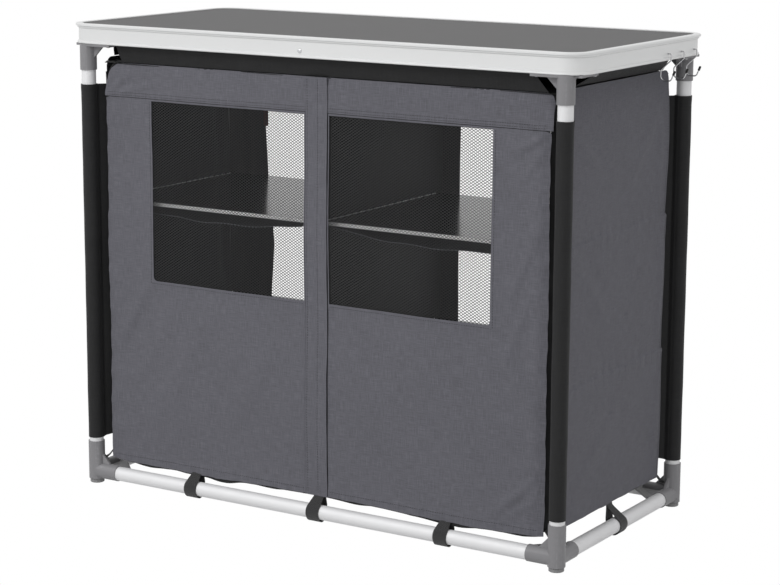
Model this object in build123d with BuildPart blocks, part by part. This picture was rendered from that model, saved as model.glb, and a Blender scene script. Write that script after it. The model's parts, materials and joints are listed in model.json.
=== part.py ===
from build123d import *
from math import atan2, degrees
import os

os.makedirs("parts", exist_ok=True)

# Camping cupboard: aluminium tube frame under a rimmed table top, with a fabric
# cabinet of two columns hung inside. X runs along the front, -Y is the front,
# +Z is up, the origin is on the ground under the middle of the cupboard.
# All sizes are in millimetres.

# Overall size and the table top's edge profile
top_length = 1000.0
top_depth = 460.0
top_height = 820.0
rim_height = 34.5
rim_top_lip = 5.0
rim_bottom_lip = 2.5
rim_wall = 2.0
rim_flange = 14.0
rim_cover = 7.0
rim_ledge = 10.0
rim_corner = 37.0
rim_low_bevel = 1.0
rim_low_lip_height = 3.0
rim_low_slope_height = 5.0
rim_shoulder = 2.2
rim_shoulder_start = 26.0
rim_shoulder_low = 27.5
rim_shoulder_high = 29.5
rim_lip_underside = 30.5
rim_top_bevel = 1.2
rim_ledge_wall = 1.8
board_thickness = 6.0
board_drop = 1.3
board_gap = 0.1
fit_gap = 0.2

# Tube frame
tube_radius = 12.5
tube_wall = 1.2
leg_inset_x = 30.0
leg_inset_y = 12.0
low_tube_height = 22.0
slide_fit = 0.05

# Upper corner brackets
upper_socket_radius = 14.5
upper_socket_length = 41.3
bracket_plate = 4.0
bracket_reach = 56.0
bracket_width = 24.0
bracket_inset_y = 1.0
bracket_inset_x = 7.0
gusset_overlap = 1.0
gusset_thickness = 4.0
upper_gusset_reach = 19.0
upper_gusset_drop = 20.0

# Lower corner connectors and their screw feet
low_socket_radius = 14.5
low_arm_radius = 14.0
low_socket_top = 77.0
low_socket_floor = 36.0
low_arm_length = 50.0
low_arm_bore_start = 18.0
low_gusset_reach = 18.0
low_gusset_height = 18.0
gusset_sink = 2.0
web_plate = 3.5
web_plate_height = 24.0
web_plate_reach = 62.0
web_plate_root = 8.5
web_plate_gap = 0.7
web_plate_end = 6.0
stem_end_gap = 1.0
foot_radius = 12.6
foot_height = 7.7
foot_gap = 0.3
foot_notches = 14
foot_stem_radius = 4.0
foot_stem_length = 24.0
running_gap = 0.08

# Rivets
rivet_radius = 2.0
rivet_head_radius = 4.0
rivet_tail_radius = 3.2
rivet_inset = 8.0
rivet_head_height = 1.6
rivet_sides = 8
brace_rivet_rise = 11.0
brace_x = -15.0
brace_width = 30.0
brace_depth = 16.0
brace_wall = 1.5
brace_tab_rise = 3.0
brace_ledge_gap = 0.4

# Hanging hooks on the right end of the rim, placed from the rear wall
hook_setbacks = {"front": 143.0, "middle": 93.0, "rear": 44.0}
hook_wire_radius = 1.1
hook_wire_sides = 6
hook_start_inset = 5.7
hook_start_rise = 7.5
hook_lip_gap = 0.8
hook_knee = (12.0, 16.5)
hook_heel = (12.5, 33.5)
hook_toe_reach = 6.0
hook_end = (10.0, 24.0)
hook_bends = [2.2, 2.2, 3.0, 5.0, 8.0, 6.0]
hook_hole_radius = 1.6
hook_hole_height = 10.5
hook_tip_radius = 2.0
hook_tip_sides = 10
hook_tip_bevel = 0.8
hook_tip_length = 8.0

# Fabric cabinet: its walls hang at these distances inside the legs, and its edges
# lie at these drops under the rim, all measured to the middle of the cloth
cloth = 1.2
trim_cloth = 1.0
front_inset = 9.0
side_inset = 13.0
front_end_inset = 28.0
side_end_inset = 33.0
floor_height = 56.0
side_rise = 1.0
side_top_drop = 25.5
front_top_drop = 31.5
ceiling_drop = 31.7
band_height = 57.5
band_corners = {"left": 36.0, "right": 14.0}
side_corner = 14.0
seam_gap = 0.2
corner_cut_margin = 1.0

# Doors with mesh windows, and the strip between them, which lies right of the middle
strip_reach = {"left": 17.0, "right": 26.0}
door_gap = 1.0
hem_corner_height = 50.0
hem_middle_height = 46.0
sill_drop = 2.5
window_bottom = 380.0
window_outer_border = 101.0
window_top_hem = 3.0
window_inner_hem = 2.0
window_corner = 7.0
net_thickness = 0.6
net_overlap = 2.0
net_outer_overlap = 8.0
net_columns = 8
net_rows = 8
net_strand = 5.0
zip_tape_width = 11.0
zip_tape_inset = 0.5
zip_tape_end_gap = 1.0
zip_slider_start = 4.0
zip_slider_gap = 0.3
zip_slider_width = 8.0
zip_slider_length = 12.0
zip_slider_depth = 2.6
zip_slider_bevel = 0.6

# Rear openings
port_inner = 38.0
port_outer_border = 51.0
port_bottom = 90.0
port_top_border = 109.0
port_corner = 14.0

# Shelves
shelf_thickness = 4.2
shelf_front_gap = 16.0
shelf_inner = 3.0
shelf_side_gap = 5.0
shelf_corner = 8.0
shelf_tops = (285.0, 514.0)
shelf_edge_lip = 4.0
shelf_edge_wall = 0.8
shelf_edge_bevel = 0.6
edge_fit = 0.1
base_board_gap = 0.3
sling_sag = 18.0
sling_gap = 0.3
sling_end_gap = 2.0

# Leg sleeves and the black cabinet corners
sleeve_gap = 0.3
sleeve_cloth = 0.8
sleeve_rise = 7.0
sleeve_top_drop = 39.0
corner_rise = 2.0
corner_top_drop = 6.0
corner_front_gap = 2.2
corner_front_inset = 0.5
corner_side_inset = 0.7
corner_side_gap = 1.0

# Skirt that closes the gap between the cabinet and the table top
skirt_front_inset = 30.0
skirt_front_slope = 9.0
skirt_side_inset = 56.0
skirt_low_inset = 1.0
skirt_low_rise = 2.0
skirt_front_gap = 1.0
skirt_side_gap = 1.2

# Webbing loops round the bottom tubes
loop_width = 25.0
loop_webbing = 1.2
loop_front_places = (-248.0, 8.0, 257.0)
loop_side_places = (0.0,)
loop_gap = 0.3
loop_neck_radius = 0.4
loop_neck_offset = 15.0
loop_neck_height = 38.0

# Small sewn tag in the rear left opening
tag_width = 12.0
tag_length = 38.0
tag_drop = 3.0
tag_thickness = 0.6
tag_overlap = 4.0
tag_gap = 0.8

# Values worked out from the sizes above
rim_bottom = top_height - rim_height
brace_rivet_level = rim_bottom + brace_rivet_rise
wall_x = top_length / 2 - rim_top_lip
wall_y = top_depth / 2 - rim_top_lip
leg_x = wall_x - leg_inset_x
leg_y = wall_y - leg_inset_y
board_top = top_height - board_drop
board_bottom = board_top - board_thickness
ledge_top = board_bottom - board_gap
plate_top = rim_bottom - fit_gap
plate_bottom = plate_top - bracket_plate
upper_socket_bottom = plate_bottom - upper_socket_length
connector_bottom = foot_height + foot_gap
arm_top = low_tube_height + low_arm_radius
gusset_root = arm_top - gusset_sink
gusset_inner_x = leg_x - tube_radius - gusset_overlap
gusset_inner_y = leg_y - tube_radius - gusset_overlap
front_plane = leg_y - front_inset
front_half = leg_x - front_end_inset
side_plane = leg_x - side_inset
side_half = leg_y - side_end_inset
side_bottom = floor_height + side_rise
side_top = rim_bottom - side_top_drop
front_top = rim_bottom - front_top_drop
ceiling_height = rim_bottom - ceiling_drop
band_bottom = front_top - band_height
door_outer = front_half - door_gap
door_top = band_bottom - door_gap
window_outer = door_outer - window_outer_border
window_top = door_top - window_top_hem
port_outer = front_half - port_outer_border
port_top = front_top - port_top_border
shelf_outer = side_plane - shelf_side_gap
shelf_depth_half = front_plane - shelf_front_gap
sling_half = side_half - sling_end_gap
sleeve_bottom = low_socket_top + sleeve_rise
sleeve_top = front_top - sleeve_top_drop
corner_bottom = floor_height + corner_rise
corner_top = front_top - corner_top_drop
skirt_front_half = front_half - skirt_front_inset
skirt_front_half_low = skirt_front_half - skirt_front_slope
skirt_side_half = side_half - skirt_side_inset
tag_bottom = port_top - tag_drop - tag_length
front_face = front_plane + cloth / 2
front_back = front_plane - cloth / 2
side_inner = side_plane - cloth / 2
corners = {
    "front_left": (-1, -1),
    "front_right": (1, -1),
    "rear_left": (-1, 1),
    "rear_right": (1, 1),
}
sides = {"left": -1, "right": 1}


def bracket_rivet_places(sx, sy):
    flange_middle = rim_flange / 2
    return (
        (sx * (leg_x - bracket_reach + rivet_inset), sy * (wall_y - flange_middle)),
        (sx * (wall_x - flange_middle), sy * (leg_y - bracket_reach + rivet_inset)),
    )


def save(piece, name):
    piece.label = name
    export_step(piece, "parts/" + name + ".step")


# Table top board: one laminated sheet that lies on the rim's inner ledge
with BuildPart() as tabletop_board:
    with BuildSketch(Plane.XY.offset(board_bottom)):
        RectangleRounded(
            2 * (wall_x - rim_wall - fit_gap),
            2 * (wall_y - rim_wall - fit_gap),
            rim_corner - rim_wall - fit_gap,
        )
    extrude(amount=board_thickness)
save(tabletop_board.part, "tabletop_board")


# Rim: an extruded aluminium section with an outward lip at top and bottom, a
# ledge for the board and an inward flange for the brackets, bent round the top
with BuildLine() as rim_path:
    straight_x = wall_x - rim_corner
    straight_y = wall_y - rim_corner
    Line((0, -wall_y, rim_bottom), (straight_x, -wall_y, rim_bottom))
    for start, end in (
        ((straight_x, -wall_y), (wall_x, -straight_y)),
        ((wall_x, straight_y), (straight_x, wall_y)),
        ((-straight_x, wall_y), (-wall_x, straight_y)),
        ((-wall_x, -straight_y), (-straight_x, -wall_y)),
    ):
        RadiusArc((*start, rim_bottom), (*end, rim_bottom), -rim_corner)
    Line((wall_x, -straight_y, rim_bottom), (wall_x, straight_y, rim_bottom))
    Line((straight_x, wall_y, rim_bottom), (-straight_x, wall_y, rim_bottom))
    Line((-wall_x, straight_y, rim_bottom), (-wall_x, -straight_y, rim_bottom))
    Line((-straight_x, -wall_y, rim_bottom), (0, -wall_y, rim_bottom))

rim_section_plane = Plane(
    origin=(0, -wall_y, rim_bottom), x_dir=(0, -1, 0), z_dir=(-1, 0, 0)
)
ledge_level = ledge_top - rim_bottom
cover_level = board_top + board_gap - rim_bottom
with BuildPart() as rim_frame:
    with BuildSketch(rim_section_plane):
        with BuildLine():
            Polyline(
                (-rim_flange, 0),
                (rim_bottom_lip - rim_low_bevel, 0),
                (rim_bottom_lip, rim_low_bevel),
                (rim_bottom_lip, rim_low_lip_height),
                (0, rim_low_slope_height),
                (0, rim_shoulder_start),
                (rim_shoulder, rim_shoulder_low),
                (rim_shoulder, rim_shoulder_high),
                (rim_top_lip, rim_lip_underside),
                (rim_top_lip, rim_height - rim_top_bevel),
                (rim_top_lip - rim_top_bevel, rim_height),
                (-rim_cover, rim_height),
                (-rim_cover, cover_level),
                (-rim_wall, cover_level),
                (-rim_wall, ledge_level),
                (-rim_ledge, ledge_level),
                (-rim_ledge, ledge_level - rim_ledge_wall),
                (-rim_wall, ledge_level - rim_ledge_wall),
                (-rim_wall, rim_wall),
                (-rim_flange, rim_wall),
                close=True,
            )
        make_face()
    sweep(path=rim_path.line)
    for setback in hook_setbacks.values():
        hole = (wall_x - rim_wall / 2, wall_y - setback, rim_bottom + hook_hole_height)
        with Locations(Location(hole, (0, 90, 0))):
            Cylinder(hook_hole_radius, 3 * rim_wall, mode=Mode.SUBTRACT)
    for end in (-1, 1):
        rivet_plane = Plane(origin=(brace_x, end * wall_y, brace_rivet_level), z_dir=(0, end, 0))
        with BuildSketch(rivet_plane):
            RegularPolygon(rivet_radius, rivet_sides)
        extrude(amount=2 * rim_wall, both=True, mode=Mode.SUBTRACT)
        for across in (-1, 1):
            with BuildSketch(Plane.XY.offset(rim_bottom)):
                with Locations(*bracket_rivet_places(across, end)):
                    RegularPolygon(rivet_radius, rivet_sides)
            extrude(amount=2 * rim_wall, both=True, mode=Mode.SUBTRACT)
save(rim_frame.part, "rim_frame")


# Cross brace under the board: an open channel riveted to the front and rear rim
brace_top = board_bottom - board_gap
brace_cut_level = ledge_top - rim_ledge_wall - brace_ledge_gap
brace_tab_level = rim_bottom + brace_tab_rise
brace_length = 2 * (wall_y - rim_wall - fit_gap)
with BuildPart() as tabletop_brace:
    with BuildSketch(Plane.XZ.offset(-brace_length / 2)):
        with Locations((brace_x, brace_top - brace_depth / 2)):
            Rectangle(brace_width, brace_depth)
        with Locations((brace_x, brace_top - brace_depth / 2 - brace_wall)):
            Rectangle(brace_width - 2 * brace_wall, brace_depth, mode=Mode.SUBTRACT)
    extrude(amount=brace_length)
    for end in (-1, 1):
        with BuildSketch(Plane.XY.offset(brace_cut_level)):
            with Locations((brace_x, end * brace_length / 2)):
                Rectangle(brace_width, 2 * rim_ledge)
        extrude(amount=brace_depth, mode=Mode.SUBTRACT)
        # tab turned down at each end, which the rivet passes through
        with BuildSketch(Plane.XY.offset(brace_tab_level)):
            with Locations((brace_x, end * (brace_length - brace_wall) / 2)):
                Rectangle(brace_width, brace_wall)
        extrude(amount=brace_cut_level - brace_tab_level)
        tab_plane = Plane(
            origin=(brace_x, end * brace_length / 2, brace_rivet_level), z_dir=(0, end, 0)
        )
        with BuildSketch(tab_plane):
            RegularPolygon(rivet_radius, rivet_sides)
        extrude(amount=2 * brace_wall, both=True, mode=Mode.SUBTRACT)
save(tabletop_brace.part, "tabletop_brace")


# Upper corner bracket: tapered socket for the leg, two flat arms under the
# rim's flange and a triangular gusset under each arm
def upper_bracket(name, sx, sy):
    with BuildPart() as bracket:
        with BuildSketch(Plane.XY.offset(plate_bottom)):
            with Locations((sx * leg_x, sy * leg_y)):
                Circle(upper_socket_radius)
        extrude(amount=upper_socket_bottom - plate_bottom)
        with BuildSketch(Plane.XY.offset(plate_bottom)):
            with Locations((sx * (leg_x - bracket_reach / 2), sy * (leg_y + bracket_inset_y))):
                Rectangle(bracket_reach, bracket_width)
            with Locations((sx * (leg_x + bracket_inset_x), sy * (leg_y - bracket_reach / 2))):
                Rectangle(bracket_width + 2 * bracket_inset_x, bracket_reach)
            with Locations((sx * leg_x, sy * leg_y)):
                Circle(upper_socket_radius)
        extrude(amount=bracket_plate)
        with BuildSketch(Plane.XZ.offset(-sy * leg_y)):
            with BuildLine():
                Polyline(
                    (sx * gusset_inner_x, plate_bottom),
                    (sx * (leg_x - upper_socket_radius - upper_gusset_reach), plate_bottom),
                    (sx * gusset_inner_x, plate_bottom - upper_gusset_drop),
                    close=True,
                )
            make_face()
        extrude(amount=gusset_thickness / 2, both=True)
        with BuildSketch(Plane.YZ.offset(sx * leg_x)):
            with BuildLine():
                Polyline(
                    (sy * gusset_inner_y, plate_bottom),
                    (sy * (leg_y - upper_socket_radius - upper_gusset_reach), plate_bottom),
                    (sy * gusset_inner_y, plate_bottom - upper_gusset_drop),
                    close=True,
                )
            make_face()
        extrude(amount=gusset_thickness / 2, both=True)
        with BuildSketch(Plane.XY.offset(upper_socket_bottom)):
            with Locations((sx * leg_x, sy * leg_y)):
                Circle(tube_radius + slide_fit)
        extrude(amount=plate_bottom - upper_socket_bottom, mode=Mode.SUBTRACT)
        with BuildSketch(Plane.XY.offset(plate_bottom)):
            with Locations(*bracket_rivet_places(sx, sy)):
                RegularPolygon(rivet_radius, rivet_sides)
        extrude(amount=bracket_plate, mode=Mode.SUBTRACT)
    save(bracket.part, "upper_bracket_" + name)


# Lower corner connector: upright socket, two arms for the bottom tubes, a
# gusset over each arm, and a flat web in the inner corner
def lower_connector(name, sx, sy):
    with BuildPart() as connector:
        with BuildSketch(Plane.XY.offset(connector_bottom)):
            with Locations((sx * leg_x, sy * leg_y)):
                Circle(low_socket_radius)
        extrude(amount=low_socket_top - connector_bottom)
        with BuildSketch(Plane.YZ.offset(sx * leg_x)):
            with Locations((sy * leg_y, low_tube_height)):
                Circle(low_arm_radius)
        extrude(amount=-sx * low_arm_length)
        with BuildSketch(Plane.XZ.offset(-sy * leg_y)):
            with Locations((sx * leg_x, low_tube_height)):
                Circle(low_arm_radius)
        extrude(amount=sy * low_arm_length)
        with BuildSketch(Plane.XZ.offset(-sy * leg_y)):
            with BuildLine():
                Polyline(
                    (sx * gusset_inner_x, gusset_root),
                    (sx * (leg_x - low_socket_radius - low_gusset_reach), gusset_root),
                    (sx * gusset_inner_x, arm_top + low_gusset_height),
                    close=True,
                )
            make_face()
        extrude(amount=gusset_thickness / 2, both=True)
        with BuildSketch(Plane.YZ.offset(sx * leg_x)):
            with BuildLine():
                Polyline(
                    (sy * gusset_inner_y, gusset_root),
                    (sy * (leg_y - low_socket_radius - low_gusset_reach), gusset_root),
                    (sy * gusset_inner_y, arm_top + low_gusset_height),
                    close=True,
                )
            make_face()
        extrude(amount=gusset_thickness / 2, both=True)
        beside_tube = tube_radius + web_plate_gap
        with BuildSketch(Plane.XY.offset(web_plate_height)):
            with BuildLine():
                Polyline(
                    *[
                        (sx * (leg_x - along), sy * (leg_y - across))
                        for along, across in (
                            (web_plate_root, web_plate_root),
                            (low_arm_length, web_plate_root),
                            (low_arm_length, beside_tube),
                            (web_plate_reach, beside_tube),
                            (web_plate_reach, beside_tube + web_plate_end),
                            (beside_tube + web_plate_end, web_plate_reach),
                            (beside_tube, web_plate_reach),
                            (beside_tube, low_arm_length),
                            (web_plate_root, low_arm_length),
                        )
                    ],
                    close=True,
                )
            make_face()
        extrude(amount=web_plate)
        with BuildSketch(Plane.XY.offset(low_socket_floor)):
            with Locations((sx * leg_x, sy * leg_y)):
                Circle(tube_radius + slide_fit)
        extrude(amount=low_socket_top - low_socket_floor, mode=Mode.SUBTRACT)
        with BuildSketch(Plane.YZ.offset(sx * (leg_x - low_arm_bore_start))):
            with Locations((sy * leg_y, low_tube_height)):
                Circle(tube_radius + slide_fit)
        extrude(amount=-sx * (low_arm_length - low_arm_bore_start), mode=Mode.SUBTRACT)
        with BuildSketch(Plane.XZ.offset(-sy * (leg_y - low_arm_bore_start))):
            with Locations((sx * leg_x, low_tube_height)):
                Circle(tube_radius + slide_fit)
        extrude(amount=sy * (low_arm_length - low_arm_bore_start), mode=Mode.SUBTRACT)
        with BuildSketch(Plane.XY.offset(connector_bottom)):
            with Locations((sx * leg_x, sy * leg_y)):
                Circle(foot_stem_radius + running_gap)
        extrude(amount=foot_stem_length + stem_end_gap, mode=Mode.SUBTRACT)
    save(connector.part, "lower_connector_" + name)


# Screw foot: notched disc with a stem that turns in the connector
def screw_foot(name, sx, sy):
    with BuildPart() as foot:
        with BuildSketch():
            with Locations((sx * leg_x, sy * leg_y)):
                RegularPolygon(foot_radius, foot_notches)
                RegularPolygon(foot_radius, foot_notches, rotation=180 / foot_notches)
        extrude(amount=foot_height)
        with BuildSketch(Plane.XY.offset(foot_height)):
            with Locations((sx * leg_x, sy * leg_y)):
                Circle(foot_stem_radius)
        extrude(amount=foot_gap + foot_stem_length)
    save(foot.part, "foot_" + name)


def leg_tube(name, sx, sy):
    with BuildPart() as tube:
        with BuildSketch(Plane.XY.offset(low_socket_floor + fit_gap)):
            with Locations((sx * leg_x, sy * leg_y)):
                Circle(tube_radius)
                Circle(tube_radius - tube_wall, mode=Mode.SUBTRACT)
        extrude(amount=plate_bottom - low_socket_floor - 2 * fit_gap)
    save(tube.part, "leg_tube_" + name)


# Leg sleeve: a tube of cloth round the leg, joined by a flat web to the black
# strip that forms the cabinet's upright corner
def corner_sleeve(name, sx, sy):
    strip_start = (front_half + corner_front_gap, front_plane - corner_front_inset)
    strip_end = (side_plane - corner_side_inset, side_half + corner_side_gap)
    middle = ((strip_start[0] + strip_end[0]) / 2, (strip_start[1] + strip_end[1]) / 2)
    strip_run = Vector(strip_end[0] - strip_start[0], strip_end[1] - strip_start[1])
    web_run = Vector(leg_x - middle[0], leg_y - middle[1])
    web_length = web_run.length - tube_radius - sleeve_gap
    web_middle = Vector(middle[0], middle[1]) + web_run.normalized() * (web_length / 2)

    web_turn = degrees(atan2(sy * web_run.Y, sx * web_run.X))
    strip_turn = degrees(atan2(sy * strip_run.Y, sx * strip_run.X))

    with BuildPart() as sleeve:
        with BuildSketch(Plane.XY.offset(sleeve_bottom)):
            with Locations((sx * web_middle.X, sy * web_middle.Y)):
                Rectangle(web_length, trim_cloth, rotation=web_turn)
            with Locations((sx * leg_x, sy * leg_y)):
                Circle(tube_radius + sleeve_gap + sleeve_cloth)
                Circle(tube_radius + sleeve_gap, mode=Mode.SUBTRACT)
        extrude(amount=sleeve_top - sleeve_bottom)
        with BuildSketch(Plane.XY.offset(corner_bottom)):
            with Locations((sx * middle[0], sy * middle[1])):
                Rectangle(strip_run.length, trim_cloth, rotation=strip_turn)
        extrude(amount=corner_top - corner_bottom)
    save(sleeve.part, "corner_sleeve_" + name)


for corner, (sx, sy) in corners.items():
    upper_bracket(corner, sx, sy)
    lower_connector(corner, sx, sy)
    screw_foot(corner, sx, sy)
    leg_tube(corner, sx, sy)
    corner_sleeve(corner, sx, sy)


# Bottom tubes between the connectors
def bottom_tube(name, plane, half):
    with BuildPart() as tube:
        with BuildSketch(plane):
            Circle(tube_radius)
            Circle(tube_radius - tube_wall, mode=Mode.SUBTRACT)
        extrude(amount=half, both=True)
    save(tube.part, "bottom_tube_" + name)


tube_half_x = leg_x - low_arm_bore_start - fit_gap
tube_half_y = leg_y - low_arm_bore_start - fit_gap
for name, side in (("front", -1), ("rear", 1)):
    bottom_tube(name, Plane(origin=(0, side * leg_y, low_tube_height), z_dir=(1, 0, 0)), tube_half_x)
for name, side in sides.items():
    bottom_tube(name, Plane(origin=(side * leg_x, 0, low_tube_height), z_dir=(0, 1, 0)), tube_half_y)


# Rivets: eight hold the brackets to the rim's flange, two hold the brace. Each
# is a shank with a head at both ends, and the grip is what lies between them
bracket_rivets = [
    Location((x, y, plate_bottom), (0, 0, 0))
    for sx, sy in corners.values()
    for x, y in bracket_rivet_places(sx, sy)
]
brace_rivets = [
    Location((brace_x, end * wall_y, brace_rivet_level), (end * 90, 0, 0)) for end in (-1, 1)
]
with BuildPart() as rivets:
    for places, grip in (
        (bracket_rivets, bracket_plate + fit_gap + rim_wall),
        (brace_rivets, rim_wall + fit_gap + brace_wall),
    ):
        for place in places:
            for start, length, radius in (
                (-rivet_head_height, rivet_head_height, rivet_head_radius),
                (0, grip, rivet_radius - running_gap),
                (grip, rivet_head_height, rivet_tail_radius),
            ):
                with BuildSketch(Plane(place).offset(start)):
                    RegularPolygon(radius, rivet_sides)
                extrude(amount=length)
save(rivets.part, "rivets")


# Wire hook: it passes through a hole in the rim along its own swing axis, drops
# over the bottom lip, leans in under the rim and turns up to a capped tip
hook_x = wall_x + rim_top_lip + hook_lip_gap
hook_level = rim_bottom + hook_hole_height
hook_points = [
    (wall_x - hook_start_inset, hook_level + hook_start_rise),
    (wall_x - hook_start_inset, hook_level),
    (hook_x, hook_level),
    (hook_x, rim_bottom),
    (wall_x - hook_knee[0], rim_bottom - hook_knee[1]),
    (wall_x - hook_heel[0], rim_bottom - hook_heel[1]),
    (wall_x + hook_toe_reach, rim_bottom - hook_heel[1]),
    (wall_x + hook_end[0], rim_bottom - hook_end[1]),
]
for name, setback in hook_setbacks.items():
    hook_plane = Plane(origin=(0, wall_y - setback, 0), x_dir=(1, 0, 0), z_dir=(0, -1, 0))
    with BuildPart() as hook:
        with BuildLine(hook_plane):
            wire = FilletPolyline(*hook_points, radius=hook_bends)
        with BuildSketch(Plane(origin=wire @ 0, z_dir=wire % 0)):
            RegularPolygon(hook_wire_radius, hook_wire_sides)
        sweep(path=wire)
    save(hook.part, "hook_" + name)
    with BuildPart() as tip:
        with BuildSketch(Plane(origin=wire @ 1, z_dir=wire % 1)):
            RegularPolygon(hook_tip_radius, hook_tip_sides)
        extrude(amount=hook_tip_length)
        chamfer(tip.faces().sort_by(Axis.Z)[-1].edges(), hook_tip_bevel)
    save(tip.part, "hook_tip_" + name)


# Cabinet floor and ceiling: cloth sheets with cut corners
def flat_sheet(name, height):
    half_x = side_inner - seam_gap
    half_y = front_back - seam_gap
    cut_x = side_inner - front_half
    cut_y = front_back - side_half
    beyond_x = half_x + corner_cut_margin
    beyond_y = half_y + corner_cut_margin
    with BuildPart() as sheet:
        with BuildSketch(Plane.XY.offset(height)):
            Rectangle(2 * half_x, 2 * half_y)
            for sx, sy in corners.values():
                with BuildLine():
                    Polyline(
                        (sx * beyond_x, sy * beyond_y),
                        (sx * (half_x - cut_x), sy * beyond_y),
                        (sx * (half_x - cut_x), sy * half_y),
                        (sx * half_x, sy * (half_y - cut_y)),
                        (sx * beyond_x, sy * (half_y - cut_y)),
                        close=True,
                    )
                make_face(mode=Mode.SUBTRACT)
        extrude(amount=cloth)
    save(sheet.part, name)


flat_sheet("floor_panel", floor_height)
flat_sheet("ceiling_panel", ceiling_height - cloth)


# Side panels, with the two upper corners rounded
for name, side in sides.items():
    with BuildPart() as panel:
        with BuildSketch(Plane.YZ.offset(side * side_plane)):
            with BuildLine():
                Polyline(
                    (-side_half, side_top - side_corner),
                    (-side_half, side_bottom),
                    (side_half, side_bottom),
                    (side_half, side_top - side_corner),
                )
                RadiusArc(
                    (-side_half, side_top - side_corner),
                    (-side_half + side_corner, side_top),
                    side_corner,
                )
                Line((-side_half + side_corner, side_top), (side_half - side_corner, side_top))
                RadiusArc(
                    (side_half - side_corner, side_top),
                    (side_half, side_top - side_corner),
                    side_corner,
                )
            make_face()
        extrude(amount=cloth / 2, both=True)
    save(panel.part, "side_panel_" + name)


# Divider between the two columns
with BuildPart() as divider_panel:
    with BuildSketch(Plane.YZ):
        with Locations((0, (corner_bottom + ceiling_height - cloth - seam_gap) / 2)):
            Rectangle(
                2 * (front_back - seam_gap),
                ceiling_height - cloth - seam_gap - corner_bottom,
            )
    extrude(amount=cloth / 2, both=True)
save(divider_panel.part, "divider_panel")


# Rear panel with one tall round-cornered opening for each column
with BuildPart() as rear_panel:
    with BuildSketch(Plane.XZ.offset(-front_plane)):
        with Locations((0, (hem_corner_height + front_top) / 2)):
            RectangleRounded(2 * front_half, front_top - hem_corner_height, side_corner)
        port_size = (port_outer - port_inner, port_top - port_bottom)
        with Locations(
            *[
                (side * (port_inner + port_outer) / 2, (port_bottom + port_top) / 2)
                for side in sides.values()
            ]
        ):
            RectangleRounded(*port_size, port_corner, mode=Mode.SUBTRACT)
    extrude(amount=cloth / 2, both=True)
save(rear_panel.part, "rear_panel")


# Front band over the doors, with round upper corners
with BuildPart() as front_band:
    with BuildSketch(Plane.XZ.offset(front_plane)):
        with BuildLine():
            Polyline(
                (-front_half, front_top - band_corners["left"]),
                (-front_half, band_bottom),
                (front_half, band_bottom),
                (front_half, front_top - band_corners["right"]),
            )
            RadiusArc(
                (-front_half, front_top - band_corners["left"]),
                (-front_half + band_corners["left"], front_top),
                band_corners["left"],
            )
            Line(
                (-front_half + band_corners["left"], front_top),
                (front_half - band_corners["right"], front_top),
            )
            RadiusArc(
                (front_half - band_corners["right"], front_top),
                (front_half, front_top - band_corners["right"]),
                band_corners["right"],
            )
        make_face()
    extrude(amount=cloth / 2, both=True)
save(front_band.part, "front_band")


# Strip that covers the zips between the doors
with BuildPart() as centre_strip:
    with BuildSketch(Plane.XZ.offset(front_face + seam_gap)):
        strip_middle = (strip_reach["right"] - strip_reach["left"]) / 2
        with Locations((strip_middle, (hem_middle_height + front_top) / 2)):
            Rectangle(sum(strip_reach.values()), front_top - hem_middle_height)
    extrude(amount=trim_cloth)
save(centre_strip.part, "centre_strip")


# Doors: a cloth panel with a sagging hem and a window
window_height = window_top - window_bottom
net_low = window_bottom - net_outer_overlap
net_high = window_top + net_overlap
net_outer = window_outer + net_outer_overlap
for name, side in sides.items():
    door_inner = strip_reach[name] + door_gap
    window_inner = door_inner + window_inner_hem
    window_middle = (window_inner + window_outer) / 2
    window_width = window_outer - window_inner
    net_inner = window_inner - net_overlap
    with BuildPart() as door:
        with BuildSketch(Plane.XZ.offset(front_plane)):
            with BuildLine():
                Polyline(
                    (side * door_inner, hem_corner_height),
                    (side * door_inner, door_top),
                    (side * door_outer, door_top),
                    (side * door_outer, hem_corner_height),
                )
                ThreePointArc(
                    (side * door_outer, hem_corner_height),
                    (side * (door_inner + door_outer) / 2, hem_middle_height),
                    (side * door_inner, hem_corner_height),
                )
            make_face()
            with Locations((side * window_middle, window_bottom + window_height / 2)):
                RectangleRounded(window_width, window_height, window_corner, mode=Mode.SUBTRACT)
        extrude(amount=cloth / 2, both=True)
    save(door.part, "door_" + name)

    # window net: square gaps stand for the far finer real net
    with BuildPart() as net:
        with BuildSketch(Plane.XZ.offset(front_back - net_thickness)):
            with Locations((side * (net_inner + net_outer) / 2, (net_low + net_high) / 2)):
                Rectangle(net_outer - net_inner, net_high - net_low)
            step_x = window_width / net_columns
            step_z = window_height / net_rows
            with Locations((side * window_middle, window_bottom + window_height / 2)):
                with GridLocations(step_x, step_z, net_columns, net_rows):
                    Rectangle(step_x - net_strand, step_z - net_strand, mode=Mode.SUBTRACT)
        extrude(amount=net_thickness)
    save(net.part, "window_net_" + name)


# Sill strip behind the doors' hems, which carries the lower zip
with BuildPart() as front_sill:
    with BuildSketch(Plane.XZ.offset(front_back - seam_gap - trim_cloth)):
        low_corner = hem_corner_height - sill_drop
        low_middle = hem_middle_height - sill_drop
        with BuildLine():
            Polyline(
                (-front_half, low_corner),
                (-front_half, floor_height - seam_gap),
                (front_half, floor_height - seam_gap),
                (front_half, low_corner),
            )
            ThreePointArc((front_half, low_corner), (front_half / 2, low_middle), (0, low_corner))
            ThreePointArc((0, low_corner), (-front_half / 2, low_middle), (-front_half, low_corner))
        make_face()
    extrude(amount=trim_cloth)
save(front_sill.part, "front_sill")


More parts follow.
